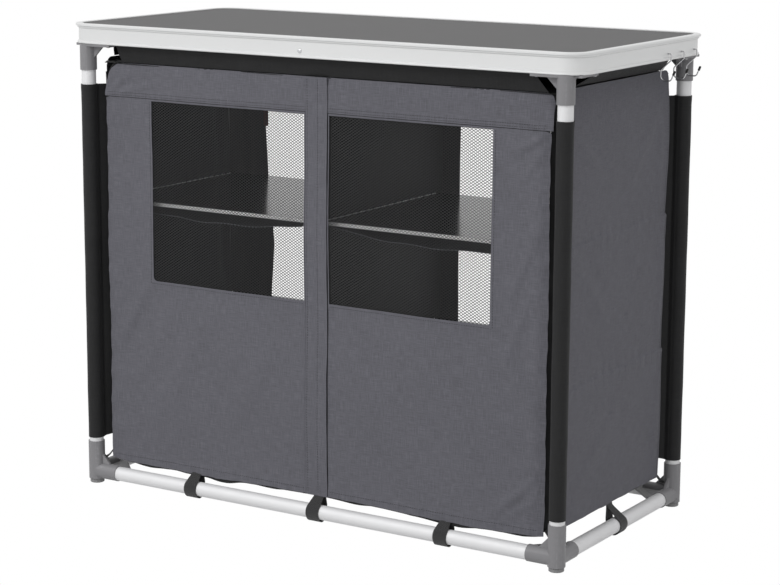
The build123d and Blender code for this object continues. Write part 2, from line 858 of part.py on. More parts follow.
# Zip tapes behind the strip, and the slider that runs on each
tape_middle = {
    name: reach - zip_tape_inset - zip_tape_width / 2 for name, reach in strip_reach.items()
}
tape_bottom = floor_height + cloth + zip_tape_end_gap
slider_middle = tape_bottom + zip_slider_start + zip_slider_length / 2
with BuildPart() as zip_tapes:
    with BuildSketch(Plane.XZ.offset(front_back)):
        for name, side in sides.items():
            with Locations((side * tape_middle[name], (tape_bottom + door_top) / 2)):
                Rectangle(zip_tape_width, door_top - tape_bottom)
    extrude(amount=trim_cloth)
save(zip_tapes.part, "zip_tapes")

for name, side in sides.items():
    with BuildPart() as slider:
        with BuildSketch(Plane.XZ.offset(front_back - zip_slider_gap - zip_slider_depth)):
            with Locations((side * tape_middle[name], slider_middle)):
                SlotOverall(zip_slider_length, zip_slider_width, rotation=90)
        extrude(amount=zip_slider_depth)
        chamfer(slider.faces().sort_by(Axis.Y)[-1].edges(), zip_slider_bevel)
    save(slider.part, "zip_slider_" + name)


# Shelf boards, two in each column, over a loose base board in each
shelf_size = (shelf_outer - shelf_inner, 2 * shelf_depth_half, shelf_corner)
shelf_middle = (shelf_inner + shelf_outer) / 2
for name, side in sides.items():
    for level, top in zip(("lower", "upper"), shelf_tops):
        with BuildPart() as shelf:
            with BuildSketch(Plane.XY.offset(top - shelf_edge_wall - edge_fit - shelf_thickness)):
                with Locations((side * shelf_middle, 0)):
                    RectangleRounded(*shelf_size)
            extrude(amount=shelf_thickness)
        save(shelf.part, "shelf_" + level + "_" + name)

with BuildPart() as base_boards:
    with BuildSketch(Plane.XY.offset(floor_height + cloth + base_board_gap)):
        with Locations((-shelf_middle, 0), (shelf_middle, 0)):
            RectangleRounded(*shelf_size)
    extrude(amount=shelf_thickness)
save(base_boards.part, "base_boards")

# Aluminium edge on the front of each shelf: a C section over the board
edge_plane_x = shelf_inner + shelf_corner
with BuildPart() as shelf_edges:
    for side in sides.values():
        for top in shelf_tops:
            with BuildSketch(Plane.YZ.offset(side * edge_plane_x)):
                low = top - 2 * (shelf_edge_wall + edge_fit) - shelf_thickness
                front = -shelf_depth_half - shelf_edge_wall - edge_fit
                with BuildLine():
                    Polyline(
                        (front + shelf_edge_lip, top),
                        (front + shelf_edge_bevel, top),
                        (front, top - shelf_edge_bevel),
                        (front, low + shelf_edge_bevel),
                        (front + shelf_edge_bevel, low),
                        (front + shelf_edge_lip, low),
                        (front + shelf_edge_lip, low + shelf_edge_wall),
                        (front + shelf_edge_wall, low + shelf_edge_wall),
                        (front + shelf_edge_wall, top - shelf_edge_wall),
                        (front + shelf_edge_lip, top - shelf_edge_wall),
                        close=True,
                    )
                make_face()
            extrude(amount=side * (shelf_outer - shelf_inner - 2 * shelf_corner))
save(shelf_edges.part, "shelf_edges")


# Slings: a sagging sheet under each shelf, sewn to the side panel and divider
with BuildPart() as shelf_slings:
    for side in sides.values():
        for top in shelf_tops:
            hang = top - shelf_edge_wall - edge_fit - shelf_thickness - sling_gap
            near = side * (cloth / 2 + seam_gap)
            far = side * (side_inner - seam_gap)
            middle = (near + far) / 2
            with BuildSketch(Plane.XZ.offset(-sling_half)):
                with BuildLine():
                    ThreePointArc((near, hang), (middle, hang - sling_sag), (far, hang))
                    Line((far, hang), (far, hang - trim_cloth))
                    ThreePointArc(
                        (far, hang - trim_cloth),
                        (middle, hang - sling_sag - trim_cloth),
                        (near, hang - trim_cloth),
                    )
                    Line((near, hang - trim_cloth), (near, hang))
                make_face()
            extrude(amount=2 * sling_half)
save(shelf_slings.part, "shelf_slings")


# Skirts: four sloping cloth strips from the cabinet up to the rim's flange,
# each given by its outward direction, lower edge and upper edge
skirt_top = rim_bottom + rim_wall
front_run = (
    front_back - skirt_low_inset,
    front_top + skirt_low_rise,
    wall_y - rim_flange - skirt_front_gap,
)
side_run = (
    side_inner - skirt_low_inset,
    side_top + skirt_low_rise,
    wall_x - rim_flange - skirt_side_gap,
)
with BuildPart() as top_skirts:
    for outward, run, half_low, half_high in (
        (Vector(0, -1, 0), front_run, skirt_front_half_low, skirt_front_half),
        (Vector(0, 1, 0), front_run, skirt_front_half_low, skirt_front_half),
        (Vector(-1, 0, 0), side_run, skirt_side_half, skirt_side_half),
        (Vector(1, 0, 0), side_run, skirt_side_half, skirt_side_half),
    ):
        low_reach, low_level, high_reach = run
        rise = outward * (high_reach - low_reach) + Vector(0, 0, skirt_top - low_level)
        along = Vector(0, 0, 1).cross(outward)
        low_middle = outward * low_reach + Vector(0, 0, low_level)
        with BuildSketch(Plane(origin=low_middle, x_dir=along, z_dir=along.cross(rise))):
            with BuildLine():
                Polyline(
                    (-half_low, 0),
                    (half_low, 0),
                    (half_high, rise.length),
                    (-half_high, rise.length),
                    close=True,
                )
            make_face()
        extrude(amount=trim_cloth / 2, both=True)
save(top_skirts.part, "top_skirts")


# Webbing loops: each goes round a bottom tube and up to the cabinet floor. A
# loop's plane has its origin on the tube's axis and its X towards the cabinet
loop_planes = []
for side in (-1, 1):
    for place in loop_front_places:
        origin = (place, side * leg_y, low_tube_height)
        loop_planes.append(Plane(origin=origin, x_dir=(0, -side, 0), z_dir=(-side, 0, 0)))
    for place in loop_side_places:
        origin = (side * leg_x, place, low_tube_height)
        loop_planes.append(Plane(origin=origin, x_dir=(-side, 0, 0), z_dir=(0, side, 0)))

loop_inner = tube_radius + loop_gap
neck_rise = loop_neck_height - low_tube_height
tab_rise = floor_height - seam_gap - low_tube_height
with BuildPart() as webbing_loops:
    for plane in loop_planes:
        with BuildSketch(plane):
            Circle(loop_inner + loop_webbing)
            with Locations((loop_neck_offset, neck_rise)):
                Circle(loop_neck_radius + loop_webbing)
            make_hull()
            with Locations((loop_neck_offset, (neck_rise + tab_rise) / 2)):
                Rectangle(2 * loop_webbing, tab_rise - neck_rise)
        extrude(amount=loop_width / 2, both=True)
        with BuildSketch(plane):
            Circle(loop_inner)
            with Locations((loop_neck_offset, neck_rise)):
                Circle(loop_neck_radius)
            make_hull()
        extrude(amount=loop_width / 2, both=True, mode=Mode.SUBTRACT)
save(webbing_loops.part, "webbing_loops")


# Small tag sewn to the edge of the rear left opening
with BuildPart() as sewn_tag:
    with BuildSketch(Plane.XZ.offset(tag_gap - front_back)):
        with Locations((tag_width / 2 - tag_overlap - port_outer, tag_bottom + tag_length / 2)):
            Rectangle(tag_width, tag_length)
    extrude(amount=-tag_thickness)
save(sewn_tag.part, "sewn_tag")
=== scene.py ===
import json
import math
import bmesh
import bpy
import numpy as np
from mathutils import Matrix, Vector

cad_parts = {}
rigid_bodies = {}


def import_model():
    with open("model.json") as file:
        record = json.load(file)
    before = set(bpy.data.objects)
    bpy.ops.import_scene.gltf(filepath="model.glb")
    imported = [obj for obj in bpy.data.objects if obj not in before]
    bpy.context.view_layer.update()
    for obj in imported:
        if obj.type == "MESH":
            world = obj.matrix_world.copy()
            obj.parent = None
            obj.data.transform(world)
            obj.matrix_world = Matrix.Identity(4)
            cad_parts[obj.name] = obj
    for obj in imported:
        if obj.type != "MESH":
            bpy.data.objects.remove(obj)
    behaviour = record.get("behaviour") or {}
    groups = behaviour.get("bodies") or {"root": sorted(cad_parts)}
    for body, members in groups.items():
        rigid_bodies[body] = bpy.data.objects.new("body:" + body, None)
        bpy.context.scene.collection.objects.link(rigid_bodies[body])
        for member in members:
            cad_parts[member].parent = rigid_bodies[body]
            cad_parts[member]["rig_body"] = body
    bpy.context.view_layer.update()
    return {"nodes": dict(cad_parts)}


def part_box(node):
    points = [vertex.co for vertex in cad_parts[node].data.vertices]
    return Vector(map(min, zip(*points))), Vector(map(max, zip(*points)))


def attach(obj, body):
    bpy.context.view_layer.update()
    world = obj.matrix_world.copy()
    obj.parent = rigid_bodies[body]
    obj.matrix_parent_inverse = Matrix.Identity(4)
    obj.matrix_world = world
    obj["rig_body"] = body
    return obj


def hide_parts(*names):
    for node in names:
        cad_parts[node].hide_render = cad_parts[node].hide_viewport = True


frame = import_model()
nodes = frame["nodes"]
print("frame loaded with", len(nodes), "nodes")

corners = {"front_left": (-1, -1), "front_right": (1, -1), "rear_left": (-1, 1), "rear_right": (1, 1)}
sides = {"left": -1, "right": 1}
shelfLevels = ("lower", "upper")


# Camera, fitted to the photographed view, in metres, degrees and millimetres
view = {
    "eye": (2.03487, -3.22675, 1.13297),
    "yaw": 31.99,
    "pitch": -11.429,
    "roll": 0.29,
    "lens": 103.456,
}


def placeCamera():
    yaw, pitch, roll = (math.radians(view[key]) for key in ("yaw", "pitch", "roll"))
    flat = math.cos(pitch)
    forward = Vector((-math.sin(yaw) * flat, math.cos(yaw) * flat, math.sin(pitch)))
    level = Vector((math.cos(yaw), math.sin(yaw), 0))
    upright = level.cross(forward)
    across = level * math.cos(roll) + upright * math.sin(roll)
    up = upright * math.cos(roll) - level * math.sin(roll)
    data = bpy.data.cameras.new("photoView")
    data.sensor_width = 36
    data.lens = view["lens"]
    data.clip_end = 50
    camera = bpy.data.objects.new("photoView", data)
    turn = Matrix((across, up, -forward)).transposed().to_4x4()
    turn.translation = Vector(view["eye"])
    camera.matrix_world = turn
    bpy.context.scene.collection.objects.link(camera)
    bpy.context.scene.camera = camera


placeCamera()


# a short hand for adding nodes and links to one tree
class Wiring:
    def __init__(self, tree):
        self.tree = tree

    def node(self, kind, **settings):
        made = self.tree.nodes.new("ShaderNode" + kind)
        for name, value in settings.items():
            setattr(made, name, value)
        return made

    # a socket is linked to its input, and a plain value becomes the input's own value
    def feed(self, made, inputs):
        for name, value in inputs.items():
            if isinstance(value, bpy.types.NodeSocket):
                self.tree.links.new(value, made.inputs[name])
            else:
                made.inputs[name].default_value = value
        return made

    def math(self, operation, *values):
        made = self.node("Math", operation=operation)
        return self.feed(made, dict(enumerate(values))).outputs[0]

    def stretch(self, vector, scale):
        return self.feed(self.node("Mapping"), {"Vector": vector, "Scale": scale}).outputs[0]

    def noise(self, vector, scale, detail, roughness):
        made = {"Vector": vector, "Scale": scale, "Detail": detail, "Roughness": roughness}
        return self.feed(self.node("TexNoise"), made).outputs["Fac"]

    def span(self, value, low, high, toLow, toHigh):
        ends = {"From Min": low, "From Max": high, "To Min": toLow, "To Max": toHigh}
        return self.feed(self.node("MapRange"), {"Value": value, **ends}).outputs["Result"]


# Node groups shared by the finishes: each takes a place and some numbers, and gives numbers
def newGroup(name, numbers, results):
    group = bpy.data.node_groups.new(name, "ShaderNodeTree")
    face = group.interface
    face.new_socket("Vector", in_out="INPUT", socket_type="NodeSocketVector")
    for label, value in numbers.items():
        made = face.new_socket(label, in_out="INPUT", socket_type="NodeSocketFloat")
        made.default_value = value
    for label in results:
        face.new_socket(label, in_out="OUTPUT", socket_type="NodeSocketFloat")
    given, result = (group.nodes.new("NodeGroup" + end) for end in ("Input", "Output"))
    return group, Wiring(group), given.outputs, result


# plain weave of thick and thin threads: two crossed sine ridges for the threads, and
# long thin noise both ways for the slubs that give the cloth its streaky grey
def weaveGroup():
    numbers = {"Thread": 1500.0, "Slub": 0.3, "Patches": 0.06}
    group, wire, given, result = newGroup("clothWeave", numbers, ("Shade", "Height"))
    place = given["Vector"]
    parts = wire.feed(wire.node("SeparateXYZ"), {0: place}).outputs
    waves = [wire.math("SINE", wire.math("MULTIPLY", parts[axis], given["Thread"])) for axis in "XY"]
    crossed = wire.math("MULTIPLY", *waves)
    streaks = [
        wire.span(wire.noise(wire.stretch(place, scale), 1.0, 3.0, 0.6), 0.42, 0.72, 0.0, 1.0)
        for scale in ((45.0, 900.0, 1.0), (900.0, 45.0, 1.0))
    ]
    both = wire.math("ADD", *streaks)
    uneven = wire.noise(place, 9.0, 3.0, 0.55)
    slubbed = wire.math("MULTIPLY", wire.math("SUBTRACT", both, 0.55), given["Slub"])
    patchy = wire.math("MULTIPLY", wire.math("SUBTRACT", uneven, 0.5), given["Patches"])
    total = wire.math("ADD", wire.math("ADD", slubbed, patchy), 1.0)
    shade = wire.math("MULTIPLY_ADD", crossed, 0.05, total)
    height = wire.math("MULTIPLY_ADD", crossed, 0.35, wire.math("MULTIPLY", both, 0.5))
    wire.feed(result, {"Shade": shade, "Height": height})
    return group


# fine moulded or laminated grain: two sizes of noise, as a shade and as a height
def grainGroup():
    numbers = {"Size": 900.0, "Mottle": 0.06}
    group, wire, given, result = newGroup("surfaceGrain", numbers, ("Shade", "Height"))
    fine = wire.noise(given["Vector"], given["Size"], 3.0, 0.6)
    broad = wire.noise(given["Vector"], 14.0, 3.0, 0.55)
    mixed = wire.math("MULTIPLY_ADD", broad, 0.6, wire.math("MULTIPLY", fine, 0.7))
    varied = wire.math("SUBTRACT", mixed, 0.65)
    shade = wire.math("MULTIPLY_ADD", varied, given["Mottle"], 1.0)
    wire.feed(result, {"Shade": shade, "Height": fine})
    return group


# rubbed edges: the pointed places of the surface, broken up by noise
def wearGroup():
    group, wire, given, result = newGroup("edgeWear", {"Start": 0.53, "Width": 0.06}, ("Mask",))
    pointed = wire.node("NewGeometry").outputs["Pointiness"]
    broken = wire.noise(given["Vector"], 160.0, 4.0, 0.65)
    end = wire.math("ADD", given["Start"], given["Width"])
    sharp = wire.span(pointed, given["Start"], end, 0.0, 1.0)
    mask = wire.math("MULTIPLY", sharp, wire.span(broken, 0.4, 0.65, 0.1, 1.0))
    wire.feed(result, {"Mask": mask})
    return group


# drawn metal: very long thin scratches along one direction
def brushGroup():
    results = ("Shade", "Roughness", "Height")
    group, wire, given, result = newGroup("drawnMetal", {"Amount": 0.05}, results)
    lines = wire.noise(given["Vector"], 1.0, 4.0, 0.7)
    smudge = wire.noise(given["Vector"], 0.05, 2.0, 0.5)
    shade = wire.math("MULTIPLY_ADD", wire.math("SUBTRACT", lines, 0.5), given["Amount"], 1.0)
    rough = wire.span(smudge, 0.3, 0.7, 0.28, 0.36)
    wire.feed(result, {"Shade": shade, "Roughness": rough, "Height": lines})
    return group


groups = {"weave": weaveGroup(), "grain": grainGroup(), "wear": wearGroup(), "brush": brushGroup()}


# Finishes
# how strongly these surfaces mirror, where it isn't their kind's usual value
shine = {"shelfBoard": 1.0, "boardLaminate": 0.15, "trimCloth": 0.15, "liningCloth": 0.18}


def startMaterial(name, **shader):
    material = bpy.data.materials.new(name)
    material.use_nodes = True
    wire = Wiring(material.node_tree)
    surface = material.node_tree.nodes["Principled BSDF"]
    wire.feed(surface, {label.replace("_", " "): value for label, value in shader.items()})
    return material, wire, surface


def useGroup(wire, key, **values):
    return wire.feed(wire.node("Group", node_tree=groups[key]), values).outputs


# the written colour times a varying shade
def tint(wire, color, shade):
    made = wire.node("Mix", data_type="RGBA", blend_type="MULTIPLY")
    return wire.feed(made, {0: 1.0, 6: (*color, 1.0), 7: shade}).outputs[2]


# the surface's colour is color times shade, and its normal follows the height over depth
def coat(wire, surface, color, shade, height, depth, **others):
    bump = wire.feed(wire.node("Bump"), {"Strength": 1.0, "Distance": depth, "Height": height})
    looks = {"Base Color": tint(wire, color, shade), "Normal": bump.outputs["Normal"], **others}
    wire.feed(surface, looks)


# the weave's shade times a step down to the inside shade where the inner mark is one
def clothMaterial(name, color, thread, slub, patches, roughness, depth, sheen, inside=1.0):
    material, wire, surface = startMaterial(
        name, Roughness=roughness, Sheen_Weight=sheen, Sheen_Roughness=0.5,
        Specular_IOR_Level=shine.get(name, 0.25),
    )
    place = wire.node("UVMap", uv_map="cloth").outputs[0]
    weave = useGroup(wire, "weave", Vector=place, Thread=thread, Slub=slub, Patches=patches)
    shade = weave["Shade"]
    if inside != 1.0:
        mark = wire.node("Attribute", attribute_name="inner").outputs["Fac"]
        shade = wire.math("MULTIPLY", shade, wire.span(mark, 0.45, 0.55, 1.0, inside))
    coat(wire, surface, color, shade, weave["Height"], depth)
    return material


# ribs across the strap and a twill of fine threads along it
def webbingMaterial(name, color, ribs, depth):
    material, wire, surface = startMaterial(name, Roughness=0.7, Sheen_Weight=0.15)
    place = wire.node("UVMap", uv_map="cloth").outputs[0]
    parts = wire.feed(wire.node("SeparateXYZ"), {0: place}).outputs
    rib = wire.math("SINE", wire.math("MULTIPLY", parts["Y"], ribs))
    lean = wire.math("ADD", parts["X"], wire.math("MULTIPLY", parts["Y"], 0.7))
    twill = wire.math("SINE", wire.math("MULTIPLY", lean, ribs * 1.9))
    height = wire.math("MULTIPLY_ADD", twill, 0.4, rib)
    coat(wire, surface, color, wire.math("MULTIPLY_ADD", height, 0.12, 1.0), height, depth)
    return material


# the grain's shade, lighter by worn on rubbed edges, and a roughness that follows the grain
def plasticMaterial(name, color, roughness, size, mottle, depth, worn=0.0):
    material, wire, surface = startMaterial(name, Specular_IOR_Level=shine.get(name, 0.4))
    place = wire.node("TexCoord").outputs["Object"]
    grain = useGroup(wire, "grain", Vector=place, Size=size, Mottle=mottle)
    wear = useGroup(wire, "wear", Vector=place)
    rubbed = wire.math("MULTIPLY_ADD", wear["Mask"], worn, grain["Shade"])
    rough = wire.span(grain["Height"], 0.3, 0.7, roughness - 0.05, roughness + 0.05)
    coat(wire, surface, color, rubbed, grain["Height"], depth, Roughness=rough)
    return material


# the scratches' shade and height, with their roughness shifted to the metal's own
def metalMaterial(name, color, metallic, roughness, along, amount, depth):
    material, wire, surface = startMaterial(name, Metallic=metallic)
    place = wire.stretch(wire.node("TexCoord").outputs["Object"], along)
    brush = useGroup(wire, "brush", Vector=place, Amount=amount)
    rough = wire.math("ADD", brush["Roughness"], roughness - 0.32)
    coat(wire, surface, color, brush["Shade"], brush["Height"], depth, Roughness=rough)
    return material


# for each slot the material's kind and name, its colour and the rest of that kind's values
grey = (0.225, 0.222, 0.231)
finishList = {
    clothMaterial: {
        "cabinet_cloth": (
            "cabinetCloth", (0.124, 0.123, 0.142), 9500.0, 0.30, 0.12, 0.82, 0.00018, 0.10, 0.16
        ),
        "lining_cloth": (
            "liningCloth", (0.0105, 0.0105, 0.0115), 9500.0, 0.20, 0.15, 0.55, 0.00012, 0.03
        ),
        "trim_cloth": (
            "trimCloth", (0.0200, 0.0200, 0.0206), 9500.0, 0.24, 0.20, 0.60, 0.00012, 0.03
        ),
        "window_net": ("windowNet", (0.034, 0.034, 0.035), 9500.0, 0.2, 0.1, 0.6, 0.00003, 0.0),
        "tag_cloth": ("tagCloth", (0.22, 0.045, 0.028), 15000.0, 0.10, 0.06, 0.5, 0.00005, 0.1),
    },
    webbingMaterial: {
        "webbing": ("strapWebbing", (0.013, 0.013, 0.014), 4200.0, 0.0002),
        "zip_tape": ("zipTape", (0.009, 0.009, 0.009), 5200.0, 0.00012),
    },
    plasticMaterial: {
        "board_laminate": ("boardLaminate", (0.072, 0.071, 0.072), 0.52, 1400.0, 0.22, 0.00004),
        "connector_plastic": ("connectorPlastic", grey, 0.5, 1100.0, 0.12, 0.00006, 0.25),
        "foot_plastic": ("footPlastic", (0.225, 0.224, 0.228), 0.5, 900.0, 0.14, 0.00006, 0.3),
        "hook_cap": ("hookCap", (0.010, 0.010, 0.010), 0.42, 900.0, 0.15, 0.00003),
        "shelf_board": ("shelfBoard", (0.012, 0.012, 0.013), 0.17, 700.0, 0.15, 0.00001),
        "zip_metal": ("zipLacquer", (0.010, 0.010, 0.010), 0.3, 900.0, 0.1, 0.00002, 1.5),
    },
    metalMaterial: {
        "rim_metal": (
            "rimAluminium", (0.70, 0.705, 0.705), 0.45, 0.44, (300.0, 300.0, 2500.0), 0.04, 0.00001
        ),
        "tube_metal": (
            "tubeAluminium", (0.78, 0.78, 0.79), 0.20, 0.60, (900.0, 900.0, 12.0), 0.05, 0.00001
        ),
        "brace_metal": (
            "braceAluminium", (0.66, 0.67, 0.68), 0.8, 0.38, (900.0, 12.0, 900.0), 0.10, 0.00002
        ),
        "rivet_metal": (
            "rivetAluminium", (0.55, 0.56, 0.57), 0.8, 0.32, (400.0, 400.0, 400.0), 0.08, 0.00001
        ),
        "shelf_trim": (
            "shelfTrim", (0.95, 0.95, 0.95), 0.1, 0.40, (12.0, 900.0, 900.0), 0.04, 0.00001
        ),
        "hook_wire": (
            "hookWire", (0.52, 0.52, 0.53), 0.9, 0.26, (300.0, 300.0, 300.0), 0.1, 0.00001
        ),
    },
}
finishes = {
    slot: kind(*values) for kind, slots in finishList.items() for slot, values in slots.items()
}
print("materials made:", len(finishes))


# Mesh building
# whole arrays of corners and four-sided faces go into the mesh at once; inner is one
# where the inside face of a cloth lies and nought outside
def putMesh(name, points, quads, uv=None, inner=None, creaseAngle=45):
    mesh = bpy.data.meshes.new(name)
    mesh.vertices.add(len(points))
    mesh.vertices.foreach_set("co", points.astype(np.float32).ravel())
    mesh.loops.add(quads.size)
    mesh.loops.foreach_set("vertex_index", quads.astype(np.int32).ravel())
    mesh.polygons.add(len(quads))
    mesh.polygons.foreach_set("loop_start", np.arange(0, quads.size, 4, dtype=np.int32))
    mesh.polygons.foreach_set("use_smooth", np.ones(len(quads), dtype=bool))
    mesh.update(calc_edges=True)
    if uv is not None:
        layer = mesh.uv_layers.new(name="cloth")
        layer.data.foreach_set("uv", uv[quads.ravel()].astype(np.float32).ravel())
    if inner is not None:
        mark = mesh.attributes.new("inner", "FLOAT", "POINT")
        mark.data.foreach_set("value", inner.astype(np.float32))
    mesh.validate()
    mesh.set_sharp_from_angle(angle=math.radians(creaseAngle))
    return mesh


def addPiece(mesh, slotName, body, replaced=()):
    piece = bpy.data.objects.new(mesh.name, mesh)
    bpy.context.scene.collection.objects.link(piece)
    mesh.materials.append(finishes[slotName])
    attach(piece, body)
    if replaced:
        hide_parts(*replaced)
    return piece


def stacked(*parts):
    return np.stack(parts, axis=-1)


# the value kept between nought and one
def unit(value):
    return np.clip(value, 0, 1)


# faces of a grid of points stored row by row, without the cells that keep leaves out
def gridQuads(rows, columns, keep=None):
    first = np.arange(rows * columns).reshape(rows, columns)
    quads = stacked(first[:-1, :-1], first[:-1, 1:], first[1:, 1:], first[1:, :-1])
    return quads[keep] if keep is not None else quads.reshape(-1, 4)


# at each grid point, the cross product of the two grid directions
def gridNormals(points):
    alongRows, alongColumns = np.gradient(points, axis=0), np.gradient(points, axis=1)
    normal = np.cross(alongColumns, alongRows)
    return normal / np.maximum(np.linalg.norm(normal, axis=-1, keepdims=True), 1e-12)


# two copies of the middle surface, half the thickness out along its normals each way,
# with a wall along every edge that only one face uses; facing tells which way is out
def thicken(points, quads, normals, thickness, uv, facing):
    used, index = np.unique(quads, return_inverse=True)
    facing = np.broadcast_to(np.asarray(facing, float), points.shape)[used]
    points, normals, uv, quads = points[used], normals[used], uv[used], index.reshape(-1, 4)
    a, b, c = (points[quads[:, k]] for k in (0, 1, 2))
    if (np.cross(b - a, c - a) * normals[quads[:, 0]]).sum() < 0:
        quads = quads[:, ::-1]
    if (normals * facing).sum() < 0:
        normals, quads = -normals, quads[:, ::-1]
    count = len(points)
    edges = np.stack([quads, np.roll(quads, -1, axis=1)], axis=2).reshape(-1, 2)
    code = edges.min(axis=1) * count + edges.max(axis=1)
    at, uses = np.unique(code, return_index=True, return_counts=True)[1:]
    rim = edges[at[uses == 1]]
    walls = np.column_stack([rim[:, 1], rim[:, 0], rim[:, 0] + count, rim[:, 1] + count])
    half = normals * thickness / 2
    return (
        np.vstack([points + half, points - half]),
        np.vstack([quads, quads[:, ::-1] + count, walls]),
        np.vstack([uv, uv]),
        np.repeat([0.0, 1.0], count),
    )


# a grid of points made into cloth of the given thickness
def addCloth(
    name, points, thickness, facing, uv, slotName, replaced=(), body="root", keep=None
):
    quads = gridQuads(*points.shape[:2], keep)
    normals = gridNormals(points).reshape(-1, 3)
    facing = np.broadcast_to(np.asarray(facing, float), points.shape).reshape(-1, 3)
    solid = thicken(points.reshape(-1, 3), quads, normals, thickness, uv.reshape(-1, 2), facing)
    return addPiece(putMesh(name, *solid, creaseAngle=60), slotName, body, replaced)


# grid lines that hit every stop, with even steps of about the given size between them
def linesBetween(stops, step):
    pieces = [
        np.linspace(low, high, max(2, int(round((high - low) / step)) + 1))[:-1]
        for low, high in zip(stops[:-1], stops[1:])
    ]
    return np.concatenate(pieces + [[stops[-1]]])


# each stitch is a short bar along the path, narrower on top than where it meets the
# cloth, and the bars follow one another at an even pitch
stitch = {
    "pitch": 0.0044, "length": 0.0029, "width": 0.0006, "height": 0.00035, "sunk": 0.0002,
    "topShare": 0.5, "topSlide": 0.0003,
}


# the length travelled along a row of points, up to each one
def travelled(path):
    return np.concatenate([[0], np.cumsum(np.linalg.norm(np.diff(path, axis=0), axis=1))])


def stitchRow(path, outward):
    length = travelled(path)
    middles = np.arange(stitch["pitch"] / 2, length[-1], stitch["pitch"])
    at = [
        np.column_stack([np.interp(middles + shift, length, path[:, k]) for k in range(3)])
        for shift in (-stitch["length"] / 2, stitch["length"] / 2)
    ]
    run = at[1] - at[0]
    run /= np.linalg.norm(run, axis=1, keepdims=True)
    outward = np.array(outward, float)
    side = np.cross(run, outward)
    boxCorners = []
    for end, inward in zip(at, (1, -1)):
        for across, isTop in ((-1, False), (1, False), (1, True), (-1, True)):
            share = stitch["topShare"] if isTop else 1.0
            level = stitch["height"] if isTop else -stitch["sunk"]
            slide = inward * stitch["topSlide"] * isTop
            aside = side * across * share * stitch["width"] / 2
            boxCorners.append(end + aside + outward * level + run * slide)
    return np.stack(boxCorners, axis=1)


def addStitches(name, rows, body):
    boxes = np.concatenate(rows)
    faces = [(0, 1, 2, 3), (7, 6, 5, 4), (0, 4, 5, 1), (1, 5, 6, 2), (2, 6, 7, 3), (3, 7, 4, 0)]
    quads = (8 * np.arange(len(boxes))[:, None, None] + np.array(faces)[None]).reshape(-1, 4)
    points = boxes.reshape(-1, 3)
    a, b, c = (points[quads[0, k]] for k in (0, 1, 2))
    if np.cross(b - a, c - a) @ (points[quads[0]].mean(axis=0) - boxes[0].mean(axis=0)) < 0:
        quads = quads[:, ::-1]
    addPiece(putMesh(name, points, quads, creaseAngle=30), "trim_cloth", body)


# rings of points, one after another, joined by faces that run all the way round; the two
# ends are filled and every face turned outwards
def ringMesh(name, rings, sharpAngle=None, weld=False):
    rows = np.arange(rings.shape[0] * rings.shape[1]).reshape(rings.shape[:2])
    after = np.roll(rows, -1, axis=1)
    quads = stacked(rows[:-1], after[:-1], after[1:], rows[1:]).reshape(-1, 4)
    mesh = putMesh(name, rings.reshape(-1, 3), quads)
    fix = bmesh.new()
    fix.from_mesh(mesh)
    if weld:
        bmesh.ops.remove_doubles(fix, verts=fix.verts, dist=1e-6)
    bmesh.ops.holes_fill(fix, edges=[e for e in fix.edges if e.is_boundary])
    bmesh.ops.recalc_face_normals(fix, faces=fix.faces)
    fix.to_mesh(mesh)
    fix.free()
    if sharpAngle:
        mesh.set_sharp_from_angle(angle=math.radians(sharpAngle))
    return mesh


# a round profile carried along a path: at each path point a ring of points
# side cos(turn) + top sin(turn) stands square to the path
def carried(name, path, radius, ringSides, across=(0.0, 1.0, 0.0)):
    path = np.asarray(path, float)
    run = np.gradient(path, axis=0)
    run /= np.linalg.norm(run, axis=1, keepdims=True)
    guide = np.array(across)
    side = guide - run * (run @ guide)[:, None]
    side /= np.linalg.norm(side, axis=1, keepdims=True)
    top = np.cross(run, side)
    turn = np.linspace(0, 2 * np.pi, ringSides, endpoint=False)[None, :, None]
    radius = np.broadcast_to(np.asarray(radius, float), (len(path),))
    ring = side[:, None] * np.cos(turn) + top[:, None] * np.sin(turn)
    return ringMesh(name, path[:, None] + ring * radius[:, None, None], 45)


# a closed outline of (radius, height) turned about an axis through the centre;
# radiusShare scales the radius with the turn, as for the flutes of a knob
def turned(name, outline, centre, axis, ringSides=32, radiusShare=None):
    outline = np.asarray(outline, float)
    turn = np.linspace(0, 2 * np.pi, ringSides, endpoint=False)
    share = np.ones(ringSides) if radiusShare is None else radiusShare(turn)
    axis = Vector(axis).normalized()
    side = axis.orthogonal().normalized()
    top = axis.cross(side)
    radius = outline[:, 0][:, None] * share[None, :]
    circle = np.cos(turn)[:, None] * np.array(side) + np.sin(turn)[:, None] * np.array(top)
    rings = np.array(centre, float) + radius[..., None] * circle
    rings = rings + outline[:, 1][:, None, None] * np.array(axis)
    return ringMesh(name, rings, 40, weld=True)


def joined(name, meshes):
    whole = bmesh.new()
    for mesh in meshes:
        whole.from_mesh(mesh)
        bpy.data.meshes.remove(mesh)
    mesh = bpy.data.meshes.new(name)
    whole.to_mesh(mesh)
    whole.free()
    return mesh


